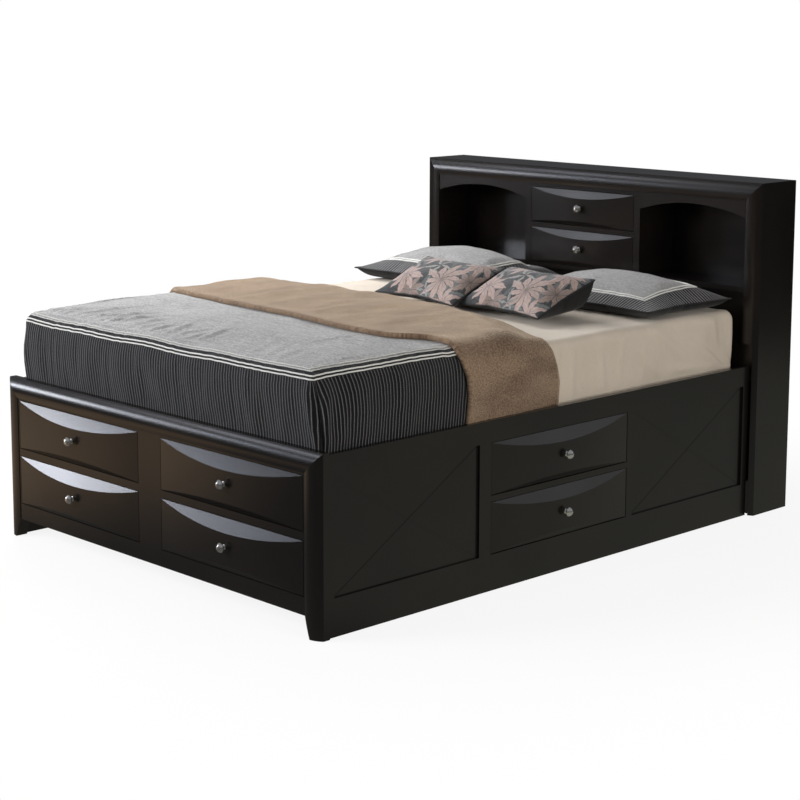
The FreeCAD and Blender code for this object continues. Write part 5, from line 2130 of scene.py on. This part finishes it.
@dataclass
class Bedding:
    """All the soft pieces, each tied to the bed, with the solid that it stands for hidden."""

    looks: Looks
    lines: LineWork = field(default_factory=LineWork)
    cover: Cover = field(default_factory=Cover)

    @staticmethod
    def settle(piece: Object, slot: Slot, *nodes: str) -> None:
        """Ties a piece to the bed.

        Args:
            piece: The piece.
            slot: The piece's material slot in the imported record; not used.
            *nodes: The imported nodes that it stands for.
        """
        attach(piece, BODY)
        if nodes:
            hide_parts(*nodes)
        log.info("%s has %d faces", piece.name, len(piece.data.polygons))

    def make(self) -> None:
        """Makes the bed up, from the sheet to the pillows."""
        sheet = Sheet().make(self.looks)
        self.settle(sheet, Slot.SHEET, "mattress")

        quilt, *trims = Comforter(self.cover).make(self.looks, self.lines)
        self.settle(quilt, Slot.COMFORTER, "comforter")
        for trim in trims:
            self.settle(trim, Slot.COMFORTER)

        blanket, flat = Throw(self.cover).make(self.looks)
        self.settle(blanket, Slot.THROW, "throw")

        for pillow in PILLOWS:
            self.make_pillow(pillow)

    def make_pillow(self, pillow: Pillow) -> None:
        """Makes a sham or a cushion with its cords and its seam.

        Args:
            pillow: Which of them.
        """
        sham = pillow.node.endswith("sham")
        looks, slot = self.looks, Slot.SHAM if sham else Slot.PRINT
        # The underside takes the charcoal cloth, darkened as painted shade.
        piece, grid = pillow.make([looks.sham if sham else looks.printed, looks.charcoal_and_painted_shade])
        self.settle(piece, slot, pillow.node)
        if sham:
            rings = [
                border_line(grid, pillow.half * MM, (SHAM_BORDER + step) * MM, 1.2 * MM)
                for step in (-6.0, 7.0)
            ]
            cords = self.lines.lay(pillow.node + "_cords", rings, self.lines.piping, looks.cord,
                                   True, Radius=2.5, Step=6.0)
            self.settle(cords, slot)
        seam = self.lines.lay(pillow.node + "_seam", [edge_line(grid)], self.lines.piping,
                              looks.charcoal_and_painted_shade, True, Radius=2.6, Step=8.0)
        self.settle(seam, slot)


# ---- stage ----


@dataclass(frozen=True)
class Lamp:
    """A soft rectangular light.

    Attributes:
        name: Its name.
        spot: Where it hangs, in metres.
        aim: What it looks at.
        size: Its width and height.
        watts: Its power.
        colour: Its colour.
        mirrored: Whether the lacquer shows its reflection.
    """

    name: str
    spot: tuple[float, float, float]
    aim: tuple[float, float, float]
    size: tuple[float, float]
    watts: float
    colour: str
    mirrored: bool = True

    def hang(self) -> None:
        """Adds the light."""
        data = bpy.data.lights.new(self.name, "AREA")
        data.shape, data.size, data.size_y = "RECTANGLE", *self.size
        data.energy, data.color = self.watts, linear(self.colour)[:3]
        lamp = bpy.data.objects.new(self.name, data)
        lamp.location = self.spot
        lamp.visible_glossy = self.mirrored
        aim = Vector(self.aim) - Vector(self.spot)
        lamp.rotation_euler = aim.to_track_quat("-Z", "Y").to_euler()
        bpy.context.scene.collection.objects.link(lamp)


# What the lower window lamps look at.
FOOTBOARD = (-0.2, -1.14, 0.4)
LAMPS = (
    Lamp("key", (-2.4, -5.0, 2.9), (-0.2, -0.6, 0.6), (2.4, 2.0), 268.0, "#FFFFFF", False),
    Lamp("rim", (-2.0, 0.2, 2.15), (-0.3, 0.15, 0.8), (1.6, 1.6), 80.0, "#FFFFFF", False),
    Lamp("fill", (5.0, -0.8, 1.45), (0.7, 0.0, 0.5), (2.2, 1.6), 114.0, "#FFFBF3", False),
    Lamp("window_low", (-6.5, -4.55, 2.05), FOOTBOARD, (1.3, 1.1), 105.0, "#F2F5FF"),
    Lamp("window_high", (-6.3, -6.0, 2.9), FOOTBOARD, (1.6, 1.0), 24.0, "#DCE5FA"),
    Lamp("window_top", (-6.5, -5.3, 5.55), (0.0, 0.97, 1.05), (1.6, 1.4), 40.0, "#E8ECF8"),
    Lamp("window_side", (6.0, 6.6, 3.6), (0.82, -0.06, 0.4), (2.0, 1.6), 9.0, "#F2F2F2"),
)


@dataclass
class Studio:
    """Floor, lights, backdrop and camera.

    Attributes:
        half: Half the floor's width, in metres.
        sink: How far the floor lies below the legs.
        focal: Focal length, as a share of the picture's width.
        film: Width of the film in millimetres.
        shift: Shift of the lens across and up, as shares of the width.
        eye: Where the camera stands, in the row's frame.
        yaw: Its turn to the left, in radians.
        pitch: Its tilt down.
    """

    half: float = 30.0
    sink: float = 0.0005
    focal: float = 2.4165375
    film: float = 36.0
    shift: tuple[float, float] = (0.05, -0.125)
    eye: tuple[float, float, float] = (4.87224, -3.63618 + FOOT_FACE_Y, 1.84258)
    yaw: float = 0.8179
    pitch: float = 0.1506

    def build(self) -> None:
        """Makes the whole stage."""
        self.floor()
        self.backdrop()
        for lamp in LAMPS:
            lamp.hang()
        self.camera()

    def floor(self) -> None:
        """Makes a plain pale floor."""
        mesh = bpy.data.meshes.new("floor")
        corners = [(x * self.half, y * self.half, 0.0)
                   for x, y in ((-1, -1), (1, -1), (1, 1), (-1, 1))]
        mesh.from_pydata(corners, [], [(0, 1, 2, 3)])
        floor = add_object("floor", mesh, [self.floor_material()])
        floor.location.z = -self.sink

    @staticmethod
    def floor_material() -> Material:
        """Makes the floor: white with a faint shadow, and a painted dark studio floor that glows in
        reflections.

        Returns:
            The material.
        """
        material, node = blank("pale_floor")
        ray = node("LightPath").node.outputs
        spot = node(SPOTS, out=Source.OBJECT.value)
        far = node("VectorMath.LENGTH", spot, out="Value")
        # The camera sees 88 % pure white near the bed, and nothing else further away.
        seen = node(PLUS, 0.88, node(TIMES, node(RANGE, far, 1.2, 2.6, **EASED), 0.12))
        tone = node(MIX, {
            0: ray["Is Diffuse Ray"], 6: linear("#F2F2F2"), 7: linear("#8C8C8C")}, **COLOUR)
        plain = node("BsdfDiffuse", {"Color": tone})
        white = node("Emission", {"Color": linear("#FFFFFF")})
        camera = node(BLEND, seen, plain, white)
        # The lacquer mirrors a painted glow in place of the floor: warm by the left corner, darker
        # in front and far.
        aside = node("VectorMath.DISTANCE", spot, (-2.1, -2.1, 0.0), out="Value")
        warm = node(MINUS, 1.0, node(RANGE, aside, 0.5, 2.0, **EASED))
        parts = node("SeparateXYZ", spot).node.outputs
        shown = linear("#8F9088")
        for share, colour in (
            (node(RANGE, parts["Y"], -0.6, -1.4, **EASED), "#5B5B5B"),
            (node(RANGE, far, 4.2, 5.4, **EASED), "#262626"), (warm, "#D6B796"),
        ):
            shown = node(MIX, {0: share, 6: shown, 7: linear(colour)}, **COLOUR)
        # Painted reflection: an emission that only glossy rays see.
        mirrored = node("Emission", {"Color": shown})
        lit = node(BLEND, ray["Is Camera Ray"], plain, camera)
        node("OutputMaterial", node(BLEND, ray["Is Glossy Ray"], lit, mirrored))
        return material

    @staticmethod
    def backdrop() -> None:
        """Makes the sky white to the camera and softer to reflections and to the light it gives."""
        world = bpy.data.worlds.new("studio")
        bpy.context.scene.world = world
        world.use_nodes = True
        world.node_tree.nodes.clear()
        node = partial(add, world.node_tree)
        ray = node("LightPath").node.outputs
        up = node(SIZE, node("SeparateXYZ", node("NewGeometry", out="Incoming"), out="Z"))
        # Reflections see a sky that is dim near the horizon.
        glow = node(RANGE, up, 0.06, 0.5, 0.10, 0.44)
        shown = node("Background", linear("#CBCCCF"), 0.42)
        for way, colour, strength in (
            ("Is Glossy Ray", "#C9CCD2", glow), ("Is Transmission Ray", "#FFFFFF", 1.0),
            ("Is Camera Ray", "#FFFFFF", 1.0),
        ):
            shown = node(BLEND, ray[way], shown, node("Background", linear(colour), strength))
        node("OutputWorld", shown)

    def camera(self) -> None:
        """Sets the photograph's viewpoint."""
        data = bpy.data.cameras.new("camera")
        data.sensor_width = self.film
        data.lens = self.focal * self.film
        data.shift_x, data.shift_y = self.shift
        data.dof.use_dof = False
        data.clip_end = 200.0
        camera = bpy.data.objects.new("camera", data)
        camera.location = self.eye
        level = math.cos(self.pitch)
        aim = Vector((
            -math.sin(self.yaw) * level, math.cos(self.yaw) * level, -math.sin(self.pitch),
        ))
        camera.rotation_euler = aim.to_track_quat("-Z", "Y").to_euler()
        bpy.context.scene.collection.objects.link(camera)
        bpy.context.scene.camera = camera


def main() -> None:
    """Dresses the frame, makes the bedding and sets the stage."""
    logging.basicConfig(level=logging.INFO, format="%(name)s: %(message)s")
    bpy.context.scene.view_settings.view_transform = "Standard"
    looks = build_looks()
    FrameDresser(looks).dress()
    Bedding(looks).make()
    Studio().build()


if __name__ == "__main__":
    main()
